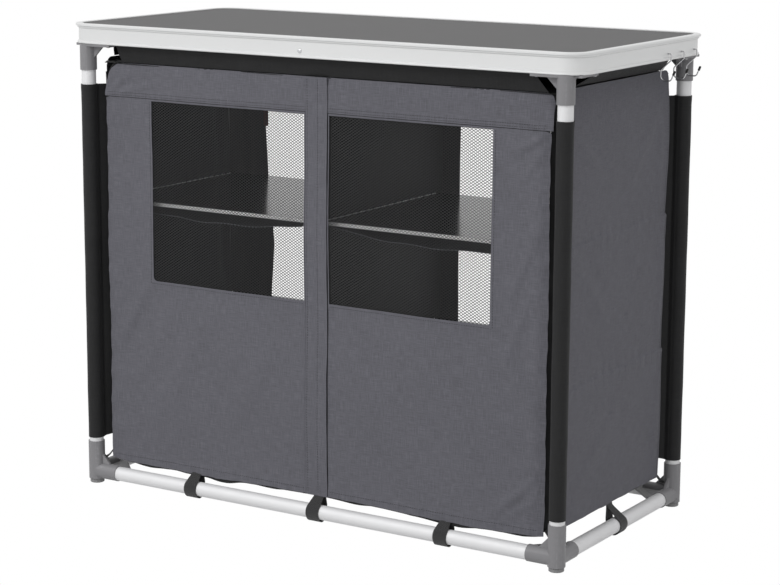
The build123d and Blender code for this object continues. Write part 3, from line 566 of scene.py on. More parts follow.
# the node's own shape with its loose triangles merged, its flats made whole, its round
# faces smooth and a small round on its sharp edges
def polished(node, slotName, bevelWidth, flatAngle=33):
    source = nodes[node]
    body = source["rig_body"]
    mesh = source.data.copy()
    mesh.name = "smooth_" + node
    mesh.materials.clear()
    fix = bmesh.new()
    fix.from_mesh(mesh)
    bmesh.ops.remove_doubles(fix, verts=fix.verts, dist=2e-6)
    bmesh.ops.dissolve_degenerate(fix, edges=fix.edges, dist=1e-6)
    bmesh.ops.dissolve_limit(
        fix, angle_limit=math.radians(1.5), verts=fix.verts, edges=fix.edges
    )
    for face in fix.faces:
        face.smooth = True
    fix.to_mesh(mesh)
    fix.free()
    mesh.set_sharp_from_angle(angle=math.radians(flatAngle))
    piece = addPiece(mesh, slotName, body, [node])
    soften = piece.modifiers.new("edgeRound", "BEVEL")
    soften.width = bevelWidth
    soften.segments = 2
    soften.limit_method = "ANGLE"
    soften.angle_limit = math.radians(flatAngle)
    soften.harden_normals = True
    soften.use_clamp_overlap = True


# Relief of the cloth
# sum of length cos(2 pi along / length + phase) over random directions, from -1 to 1
def unevenness(a, b, seed, shortest, longest, count=9):
    chance = np.random.default_rng(seed)
    total, weight = np.zeros_like(a), 0.0
    for unused in range(count):
        length = math.exp(chance.uniform(math.log(shortest), math.log(longest)))
        heading, phase = chance.uniform(0, 2 * math.pi, 2)
        along = (a * math.cos(heading) + b * math.sin(heading)) / length
        total += length * np.cos(2 * math.pi * along + phase)
        weight += length
    return total / weight * 1.8


# height fade (exp(-off^2) - 0.45 exp(-(off - 1.7)^2 / 1.4)): a ridge along the line from
# start to end with a shallow trough on its left, fading out towards both ends
def crease(a, b, start, end, width, height):
    run = np.array(end) - np.array(start)
    length = math.hypot(*run)
    run = run / length
    along = ((a - start[0]) * run[0] + (b - start[1]) * run[1]) / length
    off = ((b - start[1]) * run[0] - (a - start[0]) * run[1]) / width
    fade = np.sin(np.pi * unit(along)) ** 0.8
    return height * fade * (np.exp(-(off**2)) - 0.45 * np.exp(-((off - 1.7) ** 2) / 1.4))


# exp(-(distance / reach)^2): one at the line, falling off smoothly
def near(distance, reach):
    return np.exp(-((distance / reach) ** 2))


# one well below nought, nought well above it, and 1 / (1 + exp(distance / width)) between
def fallOff(distance, width):
    return 0.5 - 0.5 * np.tanh(0.5 * distance / width)


# radius - sqrt(radius^2 - into^2): how far a rounded corner has dropped at into
def arcDrop(into, radius):
    return radius - np.sqrt(np.maximum(radius**2 - into**2, 0))


# height wave(along) exp(-distance / reach): gathers beside a seam that die away from it
def puckers(along, distance, seed, pitch, reach, height):
    chance = np.random.default_rng(seed)
    phase = chance.uniform(0, 6.28, 3)
    slow = 0.6 + 0.4 * np.sin(along * 2 * np.pi / (pitch * 5.3) + phase[1])
    wave = np.sin(along * 2 * np.pi / pitch + phase[0]) * slow
    wave = wave + 0.4 * np.sin(along * 2 * np.pi / (pitch * 0.43) + phase[2])
    return height * wave * np.exp(-distance / reach)


# Front of the cabinet: where its cloth hangs and how much it moves out of its plane
front = {
    "plane": -0.204,
    "half": 0.437,
    "ends": (0.4345, 0.4410),
    "top": 0.754,
    "seam": 0.696,
    "bandCorners": (0.036, 0.014),
    "thickness": 0.0012,
    "step": 0.004,
    "waves": 0.0019,
    "folds": 1.5,
    "ripples": 0.00022,
    "bulge": 0.003,
    "ease": 0.0008,
    "deepest": 0.0001,
}
# each fold: start, end, width and height, on the front's x and z
frontFolds = [
    ((0.330, 0.385), (0.428, 0.235), 0.010, 0.0024),
    ((0.300, 0.340), (0.395, 0.170), 0.013, 0.0013),
    ((0.180, 0.355), (0.330, 0.110), 0.016, 0.0012),
    ((0.060, 0.330), (0.200, 0.090), 0.018, 0.0009),
    ((0.428, 0.560), (0.360, 0.400), 0.009, 0.0014),
    ((0.425, 0.470), (0.350, 0.300), 0.010, 0.0013),
    ((0.432, 0.150), (0.330, 0.058), 0.008, 0.0016),
    ((0.425, 0.110), (0.350, 0.056), 0.006, 0.0009),
    ((-0.335, 0.385), (-0.425, 0.240), 0.010, 0.0018),
    ((-0.300, 0.330), (-0.400, 0.150), 0.014, 0.0011),
    ((-0.200, 0.350), (-0.330, 0.130), 0.017, 0.0010),
    ((-0.060, 0.330), (-0.190, 0.110), 0.018, 0.0009),
    ((-0.428, 0.600), (-0.365, 0.440), 0.009, 0.0012),
    ((-0.425, 0.696), (-0.330, 0.722), 0.006, 0.0014),
    ((-0.430, 0.698), (-0.375, 0.742), 0.006, 0.0013),
    ((0.425, 0.700), (0.330, 0.724), 0.007, 0.0010),
    ((0.430, 0.690), (0.370, 0.655), 0.006, 0.0015),
    ((0.432, 0.675), (0.385, 0.610), 0.007, 0.0011),
]


# outward(x, z) = waves + ripples + bulge sin(pi height share) + sum of the folds + gathers
# that die away from the seam over the doors, a little forward and never further back than
# what lies behind the cloth
def frontOutward(x, z):
    rise = front["waves"] * unevenness(x, z, 11, 0.10, 0.42)
    rise = rise + front["ripples"] * unevenness(x, z, 12, 0.012, 0.05, 14)
    across = 1 - (np.abs(x) / front["half"]) ** 6
    rise = rise + front["bulge"] * across * np.sin(np.pi * unit((z - 0.05) / 0.646)) * 0.5
    for start, end, width, height in frontFolds:
        rise = rise + crease(x, z, start, end, width, front["folds"] * height)
    rise = rise + puckers(x, np.abs(z - front["seam"]), 5, 0.017, 0.014, 0.0004)
    return np.maximum(rise + front["ease"], -front["deepest"])


def frontPoints(x, z, proud=0.0):
    return stacked(x, front["plane"] - frontOutward(x, z) - proud, z)


def addFrontCloth(name, x, z, proud, thickness, slotName, replaced=(), body="root", keep=None):
    points, uv = frontPoints(x, z, proud), stacked(x, z)
    return addCloth(name, points, thickness, (0, -1, 0), uv, slotName, replaced, body, keep)


door = {
    "inner": {"left": 0.018, "right": 0.027},
    "outer": {"left": 0.4350, "right": 0.4370},
    "top": 0.6955,
    "hem": 0.048,
    "firstRow": 0.052,
    "hemCorner": 0.0485,
    "hemMiddle": 0.0450,
    "hemWaves": 0.0011,
    "hemStitches": 0.0575,
    "round": 0.012,
    "rollBack": 0.0018,
}
window = {
    "inner": {"left": 0.020, "right": 0.029},
    "outer": 0.335,
    "bottom": 0.380,
    "top": 0.6925,
    "corner": 0.008,
    "stitchesOff": 0.0045,
}


# level(x) = corner level - sag (1 - (2 share^1.4 - 1)^2) + small waves, over each door's
# width, so that the lowest place lies nearer to the outer edge
def hemLine(x):
    inner, outer = (np.where(x < 0, *door[key].values()) for key in ("inner", "outer"))
    share = unit((np.abs(x) - inner) / (outer - inner))
    sag = (door["hemCorner"] - door["hemMiddle"]) * (1 - (2 * share**1.4 - 1) ** 2)
    waves = door["hemWaves"] * unevenness(x, 0 * x, 17, 0.03, 0.12) * np.sin(np.pi * share)
    return door["hemCorner"] - sag + waves


# how far (x, z) lies outside the hole, and below nought how far inside
def beyondHole(x, z, hole):
    gaps = [hole["inner"] - x, x - hole["outer"], hole["bottom"] - z, z - hole["top"]]
    return np.maximum.reduce(gaps)


# for a grid, the cells whose middle lies outside the hole
def cellsOutside(x, z, hole):
    middleX, middleZ = ((line[:-1, :-1] + line[1:, 1:]) / 2 for line in (x, z))
    return beyondHole(np.abs(middleX), middleZ, hole) >= 0


# extra relief of a door, x counted outwards: the outer edge rolls back as a bell and is
# gathered, hem and window hem stand up by a smooth step of doubled cloth
def doorOutward(x, z, hole, edge):
    outer = edge - x
    # low down the open door passes close to the leg, so it stays flat there
    above = unit((z - 0.075) / 0.03)
    rise = -door["rollBack"] * near(outer, 0.010) + 0.0012 * near(outer - 0.020, 0.012) * above
    rise = rise + puckers(z, np.maximum(outer, 0), 61, 0.055, 0.020, 0.0010) * above
    rise = rise + 0.0006 * fallOff(beyondHole(x, z, hole) - 0.009, 0.0008)
    hem = z - door["hem"]
    rise = rise + 0.0008 * fallOff(hem - 0.013, 0.0008)
    return rise + puckers(x, np.maximum(hem, 0), 8, 0.034, 0.02, 0.0008)


# points on the lower corners of the hole slide on to an arc of the corner's radius, and
# the corner itself by radius (1 - cos 45 degrees)
def roundedHole(x, z, hole, ends=("outer", "inner")):
    radius, tiny = hole["corner"], 1e-7
    for end in ends:
        inward = -1 if end == "outer" else 1
        fromSide = (x - hole[end]) * inward
        fromFloor = z - hole["bottom"]
        atFloor, atSide = np.abs(fromFloor) < tiny, np.abs(fromSide) < tiny
        onFloor = atFloor & (fromSide > tiny) & (fromSide < radius)
        onSide = atSide & (fromFloor > tiny) & (fromFloor < radius)
        cut = np.where(atFloor & atSide, radius * 0.293, 0)
        z = z + np.where(onFloor, arcDrop(radius - fromSide, radius), 0) + cut
        x = x + np.where(onSide, inward * arcDrop(radius - fromFloor, radius), 0) + inward * cut
    return x, z


# the grid has a first row on the hem's line, and its outer corners drop or rise by a small
# share of over^2, where over goes from nought to one across the round edge
def makeDoor(name, side):
    hole = dict(window, inner=window["inner"][name])
    inner, outer, top = door["inner"][name], door["outer"][name], door["top"]
    across = linesBetween([inner, hole["inner"], hole["outer"], outer], front["step"])
    up = linesBetween([0.0, hole["bottom"], hole["top"], top], front["step"])
    x, z = np.meshgrid(across, up[up >= door["firstRow"]])
    x, z = np.vstack([across[None], x]), np.vstack([hemLine(side * across)[None], z])
    keep = cellsOutside(x, z, hole)
    extra = doorOutward(x, z, hole, outer)
    x, z = roundedHole(x, z, hole, ["outer"])
    over = np.maximum(x - (outer - door["round"]), 0) / door["round"]
    z = z - 0.0030 * over**2 * unit((z - top + 0.03) / 0.03)
    z = z + 0.0010 * over**2 * unit((0.08 - z) / 0.03)
    x = x - 0.0005 * over * (1 + np.sin(z * 95 + 2 * side))
    piece = addFrontCloth(
        "clothDoor_" + name, side * x, z, extra, front["thickness"], "cabinet_cloth",
        ["door_" + name], body="door_" + name, keep=keep,
    )

    # stitches: round the window's lower and outer side and above the hem
    def onDoor(x, z):
        return frontPoints(side * x, z, doorOutward(x, z, hole, outer) + 0.0006)

    beside = hole["outer"] + window["stitchesOff"]
    below = hole["bottom"] - window["stitchesOff"]
    runs = (
        (np.linspace(hole["inner"] + 0.002, beside, 60), np.full(60, below)),
        (np.full(60, beside), np.linspace(below, hole["top"], 60)),
        (np.linspace(inner + 0.003, outer - 0.012, 90), np.full(90, door["hemStitches"])),
    )
    rows = [stitchRow(onDoor(*run), (0, -1, 0)) for run in runs]
    addStitches("doorStitches_" + name, rows, "door_" + name)


# window net: staggered diamond gaps. The knots are the points (i, j) of a lattice with
# i + j even, each gap has its middle where i + j is odd, and its inner corners lie
# part of the way from the middle to the knots
net = {
    "pitchX": 0.0072,
    "pitchZ": 0.0047,
    "openShare": 0.77,
    "thickness": 0.0003,
    "behind": 0.0009,
    "overlap": 0.004,
}


def makeNet(name, side):
    lowX, highX = window["inner"][name] - 0.001, window["outer"] + net["overlap"]
    lowZ, highZ = window["bottom"] - net["overlap"], window["top"] + 0.002
    columns = int((highX - lowX) / (net["pitchX"] / 2)) // 2 * 2
    rows = int((highZ - lowZ) / (net["pitchZ"] / 2)) // 2 * 2
    stepX, stepZ = (highX - lowX) / columns, (highZ - lowZ) / rows
    i, j = np.meshgrid(np.arange(1, columns), np.arange(1, rows))
    gaps = (i + j) % 2 == 1
    i, j = i[gaps], j[gaps]
    around = np.array([(1, 0), (0, 1), (-1, 0), (0, -1)])
    knots = (j[:, None] + around[None, :, 1]) * (columns + 1) + i[:, None] + around[None, :, 0]
    allJ, allI = np.divmod(np.arange((rows + 1) * (columns + 1)), columns + 1)
    knotPoints = np.column_stack([lowX + allI * stepX, lowZ + allJ * stepZ])
    middle = np.column_stack([lowX + i * stepX, lowZ + j * stepZ])
    inner = middle[:, None] + net["openShare"] * (knotPoints[knots] - middle[:, None])
    points = np.vstack([knotPoints, inner.reshape(-1, 2)])
    inside = len(knotPoints) + np.arange(inner.shape[0] * 4).reshape(-1, 4)
    quads = stacked(knots, np.roll(knots, -1, axis=1), np.roll(inside, -1, axis=1), inside)
    x, z = side * points[:, 0], points[:, 1]
    placed = frontPoints(x, z, -net["behind"])
    normals = np.tile((0.0, -1.0, 0.0), (len(placed), 1))
    uv = np.column_stack([x, z])
    solid = thicken(placed, quads.reshape(-1, 4), normals, net["thickness"], uv, (0, -1, 0))
    mesh = putMesh("clothNet_" + name, *solid, creaseAngle=60)
    piece = addPiece(mesh, "window_net", "door_" + name, ["window_net_" + name])


# the band's upper edge: level(x) = top - radius + sqrt(radius^2 - into^2) near the ends
def bandEdge(x):
    radius = np.where(x < 0, *front["bandCorners"])
    into = np.maximum(np.abs(x) - (np.where(x < 0, *front["ends"]) - radius), 0)
    return front["top"] - radius + np.sqrt(np.maximum(radius**2 - into**2, 0))


band = {
    "low": 0.6965,
    "stops": (-0.399, 0.4265),
    "hem": 0.706,
    "stitches": (0.6995, 0.7040),
    "rollBack": 0.0045,
    "gather": 0.0008,
}


# the upper edge rolls back as a bell and is gathered, most of all at the left end, and a
# step of doubled cloth stands along the seam over the doors
def makeBand():
    low = band["low"]
    across = linesBetween([-front["ends"][0], *band["stops"], front["ends"][1]], front["step"])
    x, z = np.meshgrid(across, linesBetween([low, front["top"]], 0.003))
    edge = bandEdge(across)[None]
    z = low + (z - low) / (front["top"] - low) * (edge - low)
    below = np.maximum(edge - z, 0)
    atLeft = near(front["ends"][0] + x, 0.08)
    atEnds = 0.5 + 0.5 * near(front["half"] - np.abs(x), 0.12)
    rise = -band["rollBack"] * near(below, 0.010) * atEnds
    rise = rise + puckers(x, below, 21, 0.013, 0.010, band["gather"]) * (0.2 + 0.8 * atLeft)
    rise = rise + 0.0006 * fallOff(z - band["hem"], 0.0007)
    piece = addFrontCloth(
        "clothBand", x, z, rise, front["thickness"], "cabinet_cloth", ["front_band"],
    )
    along = np.linspace(-0.428, 0.430, 200)
    rows = [
        stitchRow(frontPoints(along, np.full(200, level), 0.0012), (0, -1, 0))
        for level in band["stitches"]
    ]
    addStitches("bandStitches", rows, "root")


seamShade = {"half": 0.4345, "bottom": 0.6915, "top": 0.709, "behind": 0.0024, "thickness": 0.0008}


# black tape along the seam over the doors, sewn to the band and hanging behind the doors: a dark
# sheet put there as painted shade, so that the gap in the seam shows as a dark line
def makeSeamShade():
    across = linesBetween([-seamShade["half"], seamShade["half"]], 0.006)
    x, z = np.meshgrid(across, linesBetween([seamShade["bottom"], seamShade["top"]], 0.003))
    points = frontPoints(x, z, -seamShade["behind"])
    # painted shade: this black sheet is what shows through the gap in the seam
    piece = addCloth(
        "seamShadeTape", points, seamShade["thickness"], (0, -1, 0), stacked(z, x), "zip_tape",
    )


strip = {
    "low": -0.017,
    "high": 0.026,
    "bottom": 0.0475,
    "top": 0.754,
    "proud": 0.0013,
    "lift": 0.0010,
    "thickness": 0.0010,
    "stitches": (-0.0135, 0.007),
}


# lies flat at its sewn left edge, and its free right edge lifts with the cube of the
# share across and waves a little; lines of stitches draw it in
def makeStrip():
    across = linesBetween([strip["low"], strip["high"]], 0.002)
    x, z = np.meshgrid(across, linesBetween([strip["bottom"], strip["top"]], front["step"]))
    first, second = strip["stitches"]

    def lift(x, z):
        share = (x - strip["low"]) / (strip["high"] - strip["low"])
        wave = 1 + 0.5 * np.sin(z * 31 + 1.2) + 0.3 * np.sin(z * 77)
        rise = strip["proud"] + strip["lift"] * share**3 * wave
        return rise - 0.0004 * (near(x - second, 0.002) + near(x - first, 0.002))

    piece = addFrontCloth(
        "clothStrip", x, z, lift(x, z), strip["thickness"], "cabinet_cloth", ["centre_strip"],
    )
    up = np.linspace(0.052, 0.750, 150)
    rows = []
    for place in strip["stitches"]:
        x = np.full(150, place)
        rows.append(stitchRow(frontPoints(x, up, lift(x, up) + 0.0005), (0, -1, 0)))
    addStitches("stripStitches", rows, "root")


sill = {"half": 0.430, "top": 0.0558, "drop": 0.0018, "moreDrop": 0.0045, "behind": 0.0014}


# narrow black cloth behind the hems, which shows as an uneven dark line under them
def makeSill():
    across = linesBetween([-sill["half"], 0, sill["half"]], 0.004)
    x, share = np.meshgrid(across, np.linspace(0, 1, 6))
    uneven = unit(unevenness(across, 0 * across, 31, 0.05, 0.2) + 0.15)
    drop = sill["drop"] + sill["moreDrop"] * uneven
    low = hemLine(across) - drop * unit((sill["half"] - np.abs(across)) / 0.03)
    z = low[None] + share * (sill["top"] - low[None])
    piece = addFrontCloth(
        "clothSill", x, z, -sill["behind"], 0.0009, "trim_cloth", ["front_sill"],
    )


for name, side in sides.items():
    makeDoor(name, side)
    makeNet(name, side)
makeBand()
# black tape behind the seam over the doors, as painted shade in the seam
makeSeamShade()
makeStrip()
makeSill()
print("front made")


# Sides of the cabinet; a step stands where each pair of shelves presses on the cloth,
# given by its level in the middle and its slope towards the rear
sidePanel = {
    "x": 0.452,
    "half": 0.180,
    "bottom": 0.057,
    "top": 0.760,
    "corner": 0.014,
    "thickness": 0.0012,
    "ridges": ((0.2840, 0.017), (0.5147, 0.021)),
    "ridgeHeight": 0.0036,
    "bays": (0.060, 0.2755, 0.512, 0.756),
    "waves": 0.0017,
    "ease": 0.0008,
    "deepest": 0.0007,
    "stitches": (-0.174, 0.174),
}
sideFolds = [
    ((-0.16, 0.49), (-0.02, 0.36), 0.012, 0.0018),
    ((0.15, 0.72), (0.04, 0.58), 0.012, 0.0017),
    ((-0.15, 0.10), (0.02, 0.22), 0.013, 0.0017),
    ((0.168, 0.52), (0.158, 0.28), 0.012, 0.0030),
    ((0.168, 0.28), (0.150, 0.07), 0.012, 0.0026),
    ((0.140, 0.70), (0.150, 0.50), 0.010, 0.0018),
    ((-0.165, 0.70), (-0.06, 0.60), 0.010, 0.0013),
]


# outward(y, z) = waves + at each shelf a step out that eases back below + a bulge between
# the shelves + slack folds - a bell that draws the upright edges in
def sideOutward(y, z, seed):
    rise = sidePanel["waves"] * unevenness(y, z, seed, 0.08, 0.40)
    rise = rise + 0.0002 * unevenness(y, z, seed + 9, 0.012, 0.05, 14)
    for level, slope in sidePanel["ridges"]:
        line = z - level - slope * y - 0.0016 * np.sin(y * 34 + seed)
        step = fallOff(line, 0.0010) * np.exp(np.minimum(line, 0) / 0.03)
        rise = rise + sidePanel["ridgeHeight"] * step
        rise = rise + puckers(y, np.abs(line), seed + 3, 0.026, 0.020, 0.0007)
    for low, high in zip(sidePanel["bays"], sidePanel["bays"][1:]):
        rise = rise + 0.0020 * np.sin(np.pi * unit((z - low) / (high - low)))
    for start, end, width, height in sideFolds:
        rise = rise + crease(y, z, start, end, width, height)
    rise = rise + sidePanel["ease"] - 0.0010 * near(sidePanel["half"] - np.abs(y), 0.007)
    return np.maximum(rise, -sidePanel["deepest"])


# the rows lie closer together at the ridges and follow their slopes, the upper corners are
# rounded off and the lower edge waves a little
def makeSide(name, side):
    half, bottom, top = (sidePanel[key] for key in ("half", "bottom", "top"))
    across = linesBetween([-half, 0, half], 0.004)
    levels, slopes = zip(*sidePanel["ridges"])
    stops = [bottom, *(level + reach for level in levels for reach in (-0.010, 0.010)), top]
    steps = (0.0045, 0.00125, 0.0045, 0.00125, 0.0045)
    rows = [linesBetween(pair, step)[:-1] for pair, step in zip(zip(stops, stops[1:]), steps)]
    y, z = np.meshgrid(across, np.concatenate([*rows, [top]]))
    z = z + y * np.interp(z, [bottom, *levels, top], [0.0, *slopes, 0.0])
    corner = sidePanel["corner"]
    drop = arcDrop(np.maximum(np.abs(across) - (half - corner), 0), corner)
    z = z - drop[None] * unit((z - 0.70) / 0.06)
    z = z + 0.0016 * unit((0.09 - z) / 0.03) * np.sin(y * 41 + side) ** 2
    seed = 42 if side > 0 else 47

    def onSide(y, z, proud=0.0):
        return stacked(side * (sidePanel["x"] + sideOutward(y, z, seed) + proud), y, z)

    piece = addCloth(
        "clothSide_" + name, onSide(y, z), sidePanel["thickness"], (side, 0, 0), stacked(y, z),
        "cabinet_cloth", ["side_panel_" + name],
    )
    up = np.linspace(0.062, 0.740, 120)
    rows = [
        stitchRow(onSide(np.full(120, place), up, 0.0006), (side, 0, 0))
        for place in sidePanel["stitches"]
    ]
    addStitches("sideStitches_" + name, rows, "root")


rear = {
    "plane": 0.204,
    "half": 0.437,
    "bottom": 0.050,
    "top": 0.754,
    "thickness": 0.0012,
    "corner": 0.014,
    "ease": 0.0008,
}
port = {"inner": 0.038, "outer": 0.386, "bottom": 0.090, "top": 0.645, "corner": 0.014}
# how far the openings' outer edges stray from a straight line, by level
portBow = {
    "level": (0.090, 0.180, 0.274, 0.381, 0.450, 0.510, 0.603, 0.645),
    "stray": (-0.002, -0.008, -0.011, -0.017, -0.012, -0.005, 0.001, -0.004),
}
rearFolds = [
    ((0.386, 0.66), (0.43, 0.73), 0.008, 0.0013),
    ((0.038, 0.66), (0.02, 0.74), 0.008, 0.0010),
    ((0.386, 0.10), (0.43, 0.06), 0.008, 0.0011),
    ((0.402, 0.50), (0.412, 0.12), 0.007, 0.0022),
    ((0.425, 0.65), (0.418, 0.30), 0.007, 0.0020),
]


# outward(x, z) = waves + folds that fan out from the openings' corners + upright folds
# beside the openings + a step of doubled cloth round each + gathers under the top edge,
# never negative and nought at the outer edges
def rearOutward(x, z):
    rise = 0.0012 * unevenness(x, z, 71, 0.10, 0.40)
    rise = rise + 0.0002 * unevenness(x, z, 72, 0.012, 0.05, 14)
    for side in sides.values():
        for start, end, width, height in rearFolds:
            start, end = (side * start[0], start[1]), (side * end[0], end[1])
            rise = rise + crease(x, z, start, end, width, height)
    rise = rise + 0.0007 * fallOff(beyondHole(np.abs(x), z, port) - 0.010, 0.0008)
    rise = rise + puckers(x, np.abs(rear["top"] - z), 77, 0.019, 0.014, 0.0004)
    flatEdge = 1 - near(np.maximum(rear["half"] - np.abs(x), 0), 0.012)
    return np.maximum(rise + rear["ease"], 0.0) * flatEdge


# the openings' corners become arcs, their outer edges stray as in portBow, their inner
# edges bow by a sine, and the panel's own corners are rounded off
def makeRear():
    half = rear["half"]
    stops = [-half, -port["outer"], -port["inner"], port["inner"], port["outer"], half]
    across = linesBetween(stops, 0.005)
    up = linesBetween([rear["bottom"], port["bottom"], port["top"], rear["top"]], 0.005)
    x, z = np.meshgrid(across, up)
    keep = cellsOutside(x, z, port)
    rise = rearOutward(x, z)
    newX, newZ = roundedHole(np.abs(x), z, port)
    newX, flipped = roundedHole(newX, -newZ, dict(port, bottom=-port["top"]))
    newZ = -flipped
    stray = np.interp(newZ, portBow["level"], portBow["stray"])
    newX = newX + stray * near(newX - port["outer"], 0.022)
    bow = 0.0025 * np.sin(np.pi * unit((newZ - 0.09) / 0.555))
    newX = newX - bow * near(newX - port["inner"], 0.015)
    drop = arcDrop(np.maximum(newX - (half - rear["corner"]), 0), rear["corner"])
    z = newZ - drop * unit((newZ - 0.70) / 0.054) + drop * unit((0.09 - newZ) / 0.04)
    x = np.sign(x) * newX
    piece = addCloth(
        "clothRear", stacked(x, rear["plane"] + rise, z), rear["thickness"], (0, 1, 0),
        stacked(x, z), "lining_cloth", ["rear_panel"], keep=keep,
    )

    def onRear(x, z):
        return stacked(x, rear["plane"] + rearOutward(x, z) + 0.0007, z)

    inner, outer = port["inner"] - 0.006, port["outer"] + 0.009
    up = np.linspace(0.070, 0.735, 130)
    rows = []
    for side in sides.values():
        for place in (inner, outer, 0.430):
            rows.append(stitchRow(onRear(np.full(130, side * place), up), (0, 1, 0)))
        for level in (port["bottom"] - 0.005, port["top"] + 0.005):
            along = side * np.linspace(inner, outer, 80)
            rows.append(stitchRow(onRear(along, np.full(80, level)), (0, 1, 0)))
    addStitches("rearStitches", rows, "root")


inside = {
    "halfX": 0.4512,
    "halfY": 0.2032,
    "cutX": 0.0144,
    "cutY": 0.0234,
    "floor": 0.0567,
    "ceiling": 0.7531,
    "thickness": 0.0010,
    "dividerStops": (0.058, 0.2795, 0.5085, 0.7524),
}


# cabinet floor and ceiling: a level sheet with cut corners and low waves; the corner
# squares are drawn in until they lie inside the cut line
def flatCloth(name, node, height, seed):
    halfX, halfY, cutX, cutY = (inside[key] for key in ("halfX", "halfY", "cutX", "cutY"))
    across = linesBetween([-halfX, -halfX + cutX, halfX - cutX, halfX], 0.010)
    deep = linesBetween([-halfY, -halfY + cutY, halfY - cutY, halfY], 0.010)
    x, y = np.meshgrid(across, deep)
    overX = np.maximum(np.abs(x) - (halfX - cutX), 0) / cutX
    overY = np.maximum(np.abs(y) - (halfY - cutY), 0) / cutY
    both = np.minimum(overX, overY)
    x = x - np.sign(x) * both * cutX * 0.5
    y = y - np.sign(y) * both * cutY * 0.5
    z = height + 0.0006 * unevenness(x, y, seed, 0.07, 0.3)
    piece = addCloth(
        name, stacked(x, y, z), inside["thickness"], (0, 0, 1), stacked(x, y), "lining_cloth",
        [node],
    )


# waves, and gathers beside the two levels where the shelves' slings are sewn on
def makeDivider():
    deep = linesBetween([-inside["halfY"], inside["halfY"]], 0.006)
    y, z = np.meshgrid(deep, linesBetween(inside["dividerStops"], 0.006))
    x = 0.0010 * unevenness(y, z, 91, 0.09, 0.35)
    for level in inside["dividerStops"][1:3]:
        x = x + puckers(y, np.abs(z - level), 93, 0.024, 0.02, 0.0005)
    piece = addCloth(
        "clothDivider", stacked(x, y, z), inside["thickness"], (1, 0, 0), stacked(y, z),
        "lining_cloth", ["divider_panel"],
    )


sling = {
    "fromDivider": 0.0010,
    "toSide": 0.4500,
    "half": 0.178,
    "sag": 0.0185,
    "levels": (0.2796, 0.5086),
    "thickness": 0.0009,
    "edge": 0.0008,
}


# drop(share) = sag (1 - share^2) between the divider and the side panel, with a few soft
# folds along the depth that are strongest beside the sewn edges
def makeSling(name, side, hang):
    start, end, half = sling["fromDivider"], sling["toSide"], sling["half"]
    x, y = np.meshgrid(np.linspace(start, end, 76), np.linspace(-half, half, 60))
    share = 2 * (x - start) / (end - start) - 1
    z = hang - 0.0006 - sling["sag"] * (1 - share**2)
    z = z - 0.0014 * (1 + np.sin(y * 52 + 3 * share)) * (1 - share**2) * np.abs(share)
    z = z - 0.0012 * (1 + np.sin(x * 60 + side)) * (1 - share**4)
    points = stacked(side * x, y, z)
    piece = addCloth(
        "clothSling_" + name, points, sling["thickness"], (0, 0, 1), stacked(x, y),
        "lining_cloth", ["shelf_slings"],
    )
    # bound front edge
    binding = carried("slingEdge_" + name, points[0] + (0, -0.0002, 0), sling["edge"], 8)
    addPiece(binding, "cabinet_cloth", "root")


for name, side in sides.items():
    makeSide(name, side)
makeRear()
flatCloth("clothFloor", "floor_panel", inside["floor"], 101)
flatCloth("clothCeiling", "ceiling_panel", inside["ceiling"], 102)
makeDivider()
for name, side in sides.items():
    for level, hang in zip(shelfLevels, sling["levels"]):
        makeSling(f"{name}_{level}", side, hang)
print("cabinet sides, rear and inside made")


# Legs, their sleeves and the cabinet's black corners
leg = {"x": 0.465, "y": 0.213, "radius": 0.0125}
sleeve = {
    "bottom": 0.084,
    "top": 0.715,
    "hem": 0.010,
    "gap": 0.0003,
    "thickness": 0.0007,
    "layer": 0.0005,
    "slack": 0.00025,
    "climb": 0.004,
}
cornerStrip = {
    "start": (0.4338, 0.2003),
    "end": (0.4492, 0.1765),
    "bottom": 0.058,
    "top": 0.754,
    "bow": 0.0035,
    "thickness": 0.0010,
}


# seen from above: two layers out from the cabinet's corner, sewn together up to the leg,
# and once round it. x is counted along the web away from the leg, y across it
def makeSleeve(name, sx, sy):
    root = (np.array(cornerStrip["start"]) + np.array(cornerStrip["end"])) / 2 + 0.0022
    centre = np.array((leg["x"], leg["y"]))
    toRoot = root - centre
    reach = math.hypot(*toRoot)
    toRoot = toRoot / reach
    square = np.array((-toRoot[1], toRoot[0]))
    radius = leg["radius"] + sleeve["gap"] + sleeve["thickness"] / 2
    turn = np.radians(np.linspace(36, 180, 31))
    ring = radius * stacked(np.cos(turn), np.sin(turn))
    web = stacked(np.linspace(reach, radius + 0.0038, 8), np.full(8, sleeve["layer"]))
    share = np.linspace(0, 1, 8)[1:-1, None]
    ease = np.hstack([share, 3 * share**2 - 2 * share**3])
    half = np.vstack([web, web[-1] + (ring[0] - web[-1]) * ease, ring])
    outline = np.vstack([half, half[-2::-1] * (1, -1)])
    plan = centre + outline[:, :1] * toRoot + outline[:, 1:] * square
    along = travelled(plan)
    hemLevel = sleeve["top"] - sleeve["hem"]
    s, z = np.meshgrid(along, linesBetween([sleeve["bottom"], hemLevel, sleeve["top"]], 0.004))
    fromLeg = np.linalg.norm(plan - centre, axis=1)
    outward = (plan - centre) / fromLeg[:, None]
    onRing = unit((radius + 0.0025 - fromLeg) / 0.0015)[None]
    slack = sleeve["slack"] * (1 + unevenness(s * 3, z, 200 + sx + 2 * sy, 0.03, 0.16))
    slack = slack + 0.0004 * fallOff(hemLevel - z, 0.0005)
    x = plan[None, :, 0] + outward[None, :, 0] * slack * onRing
    y = plan[None, :, 1] + outward[None, :, 1] * slack * onRing
    # the lower edge climbs a little towards the cabinet
    climb = sleeve["climb"] * unit((fromLeg - radius) / (reach - radius))
    z = z + climb[None] * unit((0.16 - z) / 0.076)
    points = stacked(sx * x, sy * y, z)
    away = np.hstack([outward * (sx, sy), np.zeros((len(plan), 1))])
    facing = np.broadcast_to(away[None] * onRing[0][None, :, None], points.shape)
    piece = addCloth(
        "sleeve_" + name, points, sleeve["thickness"], facing, stacked(s, z), "trim_cloth",
        ["corner_sleeve_" + name],
    )


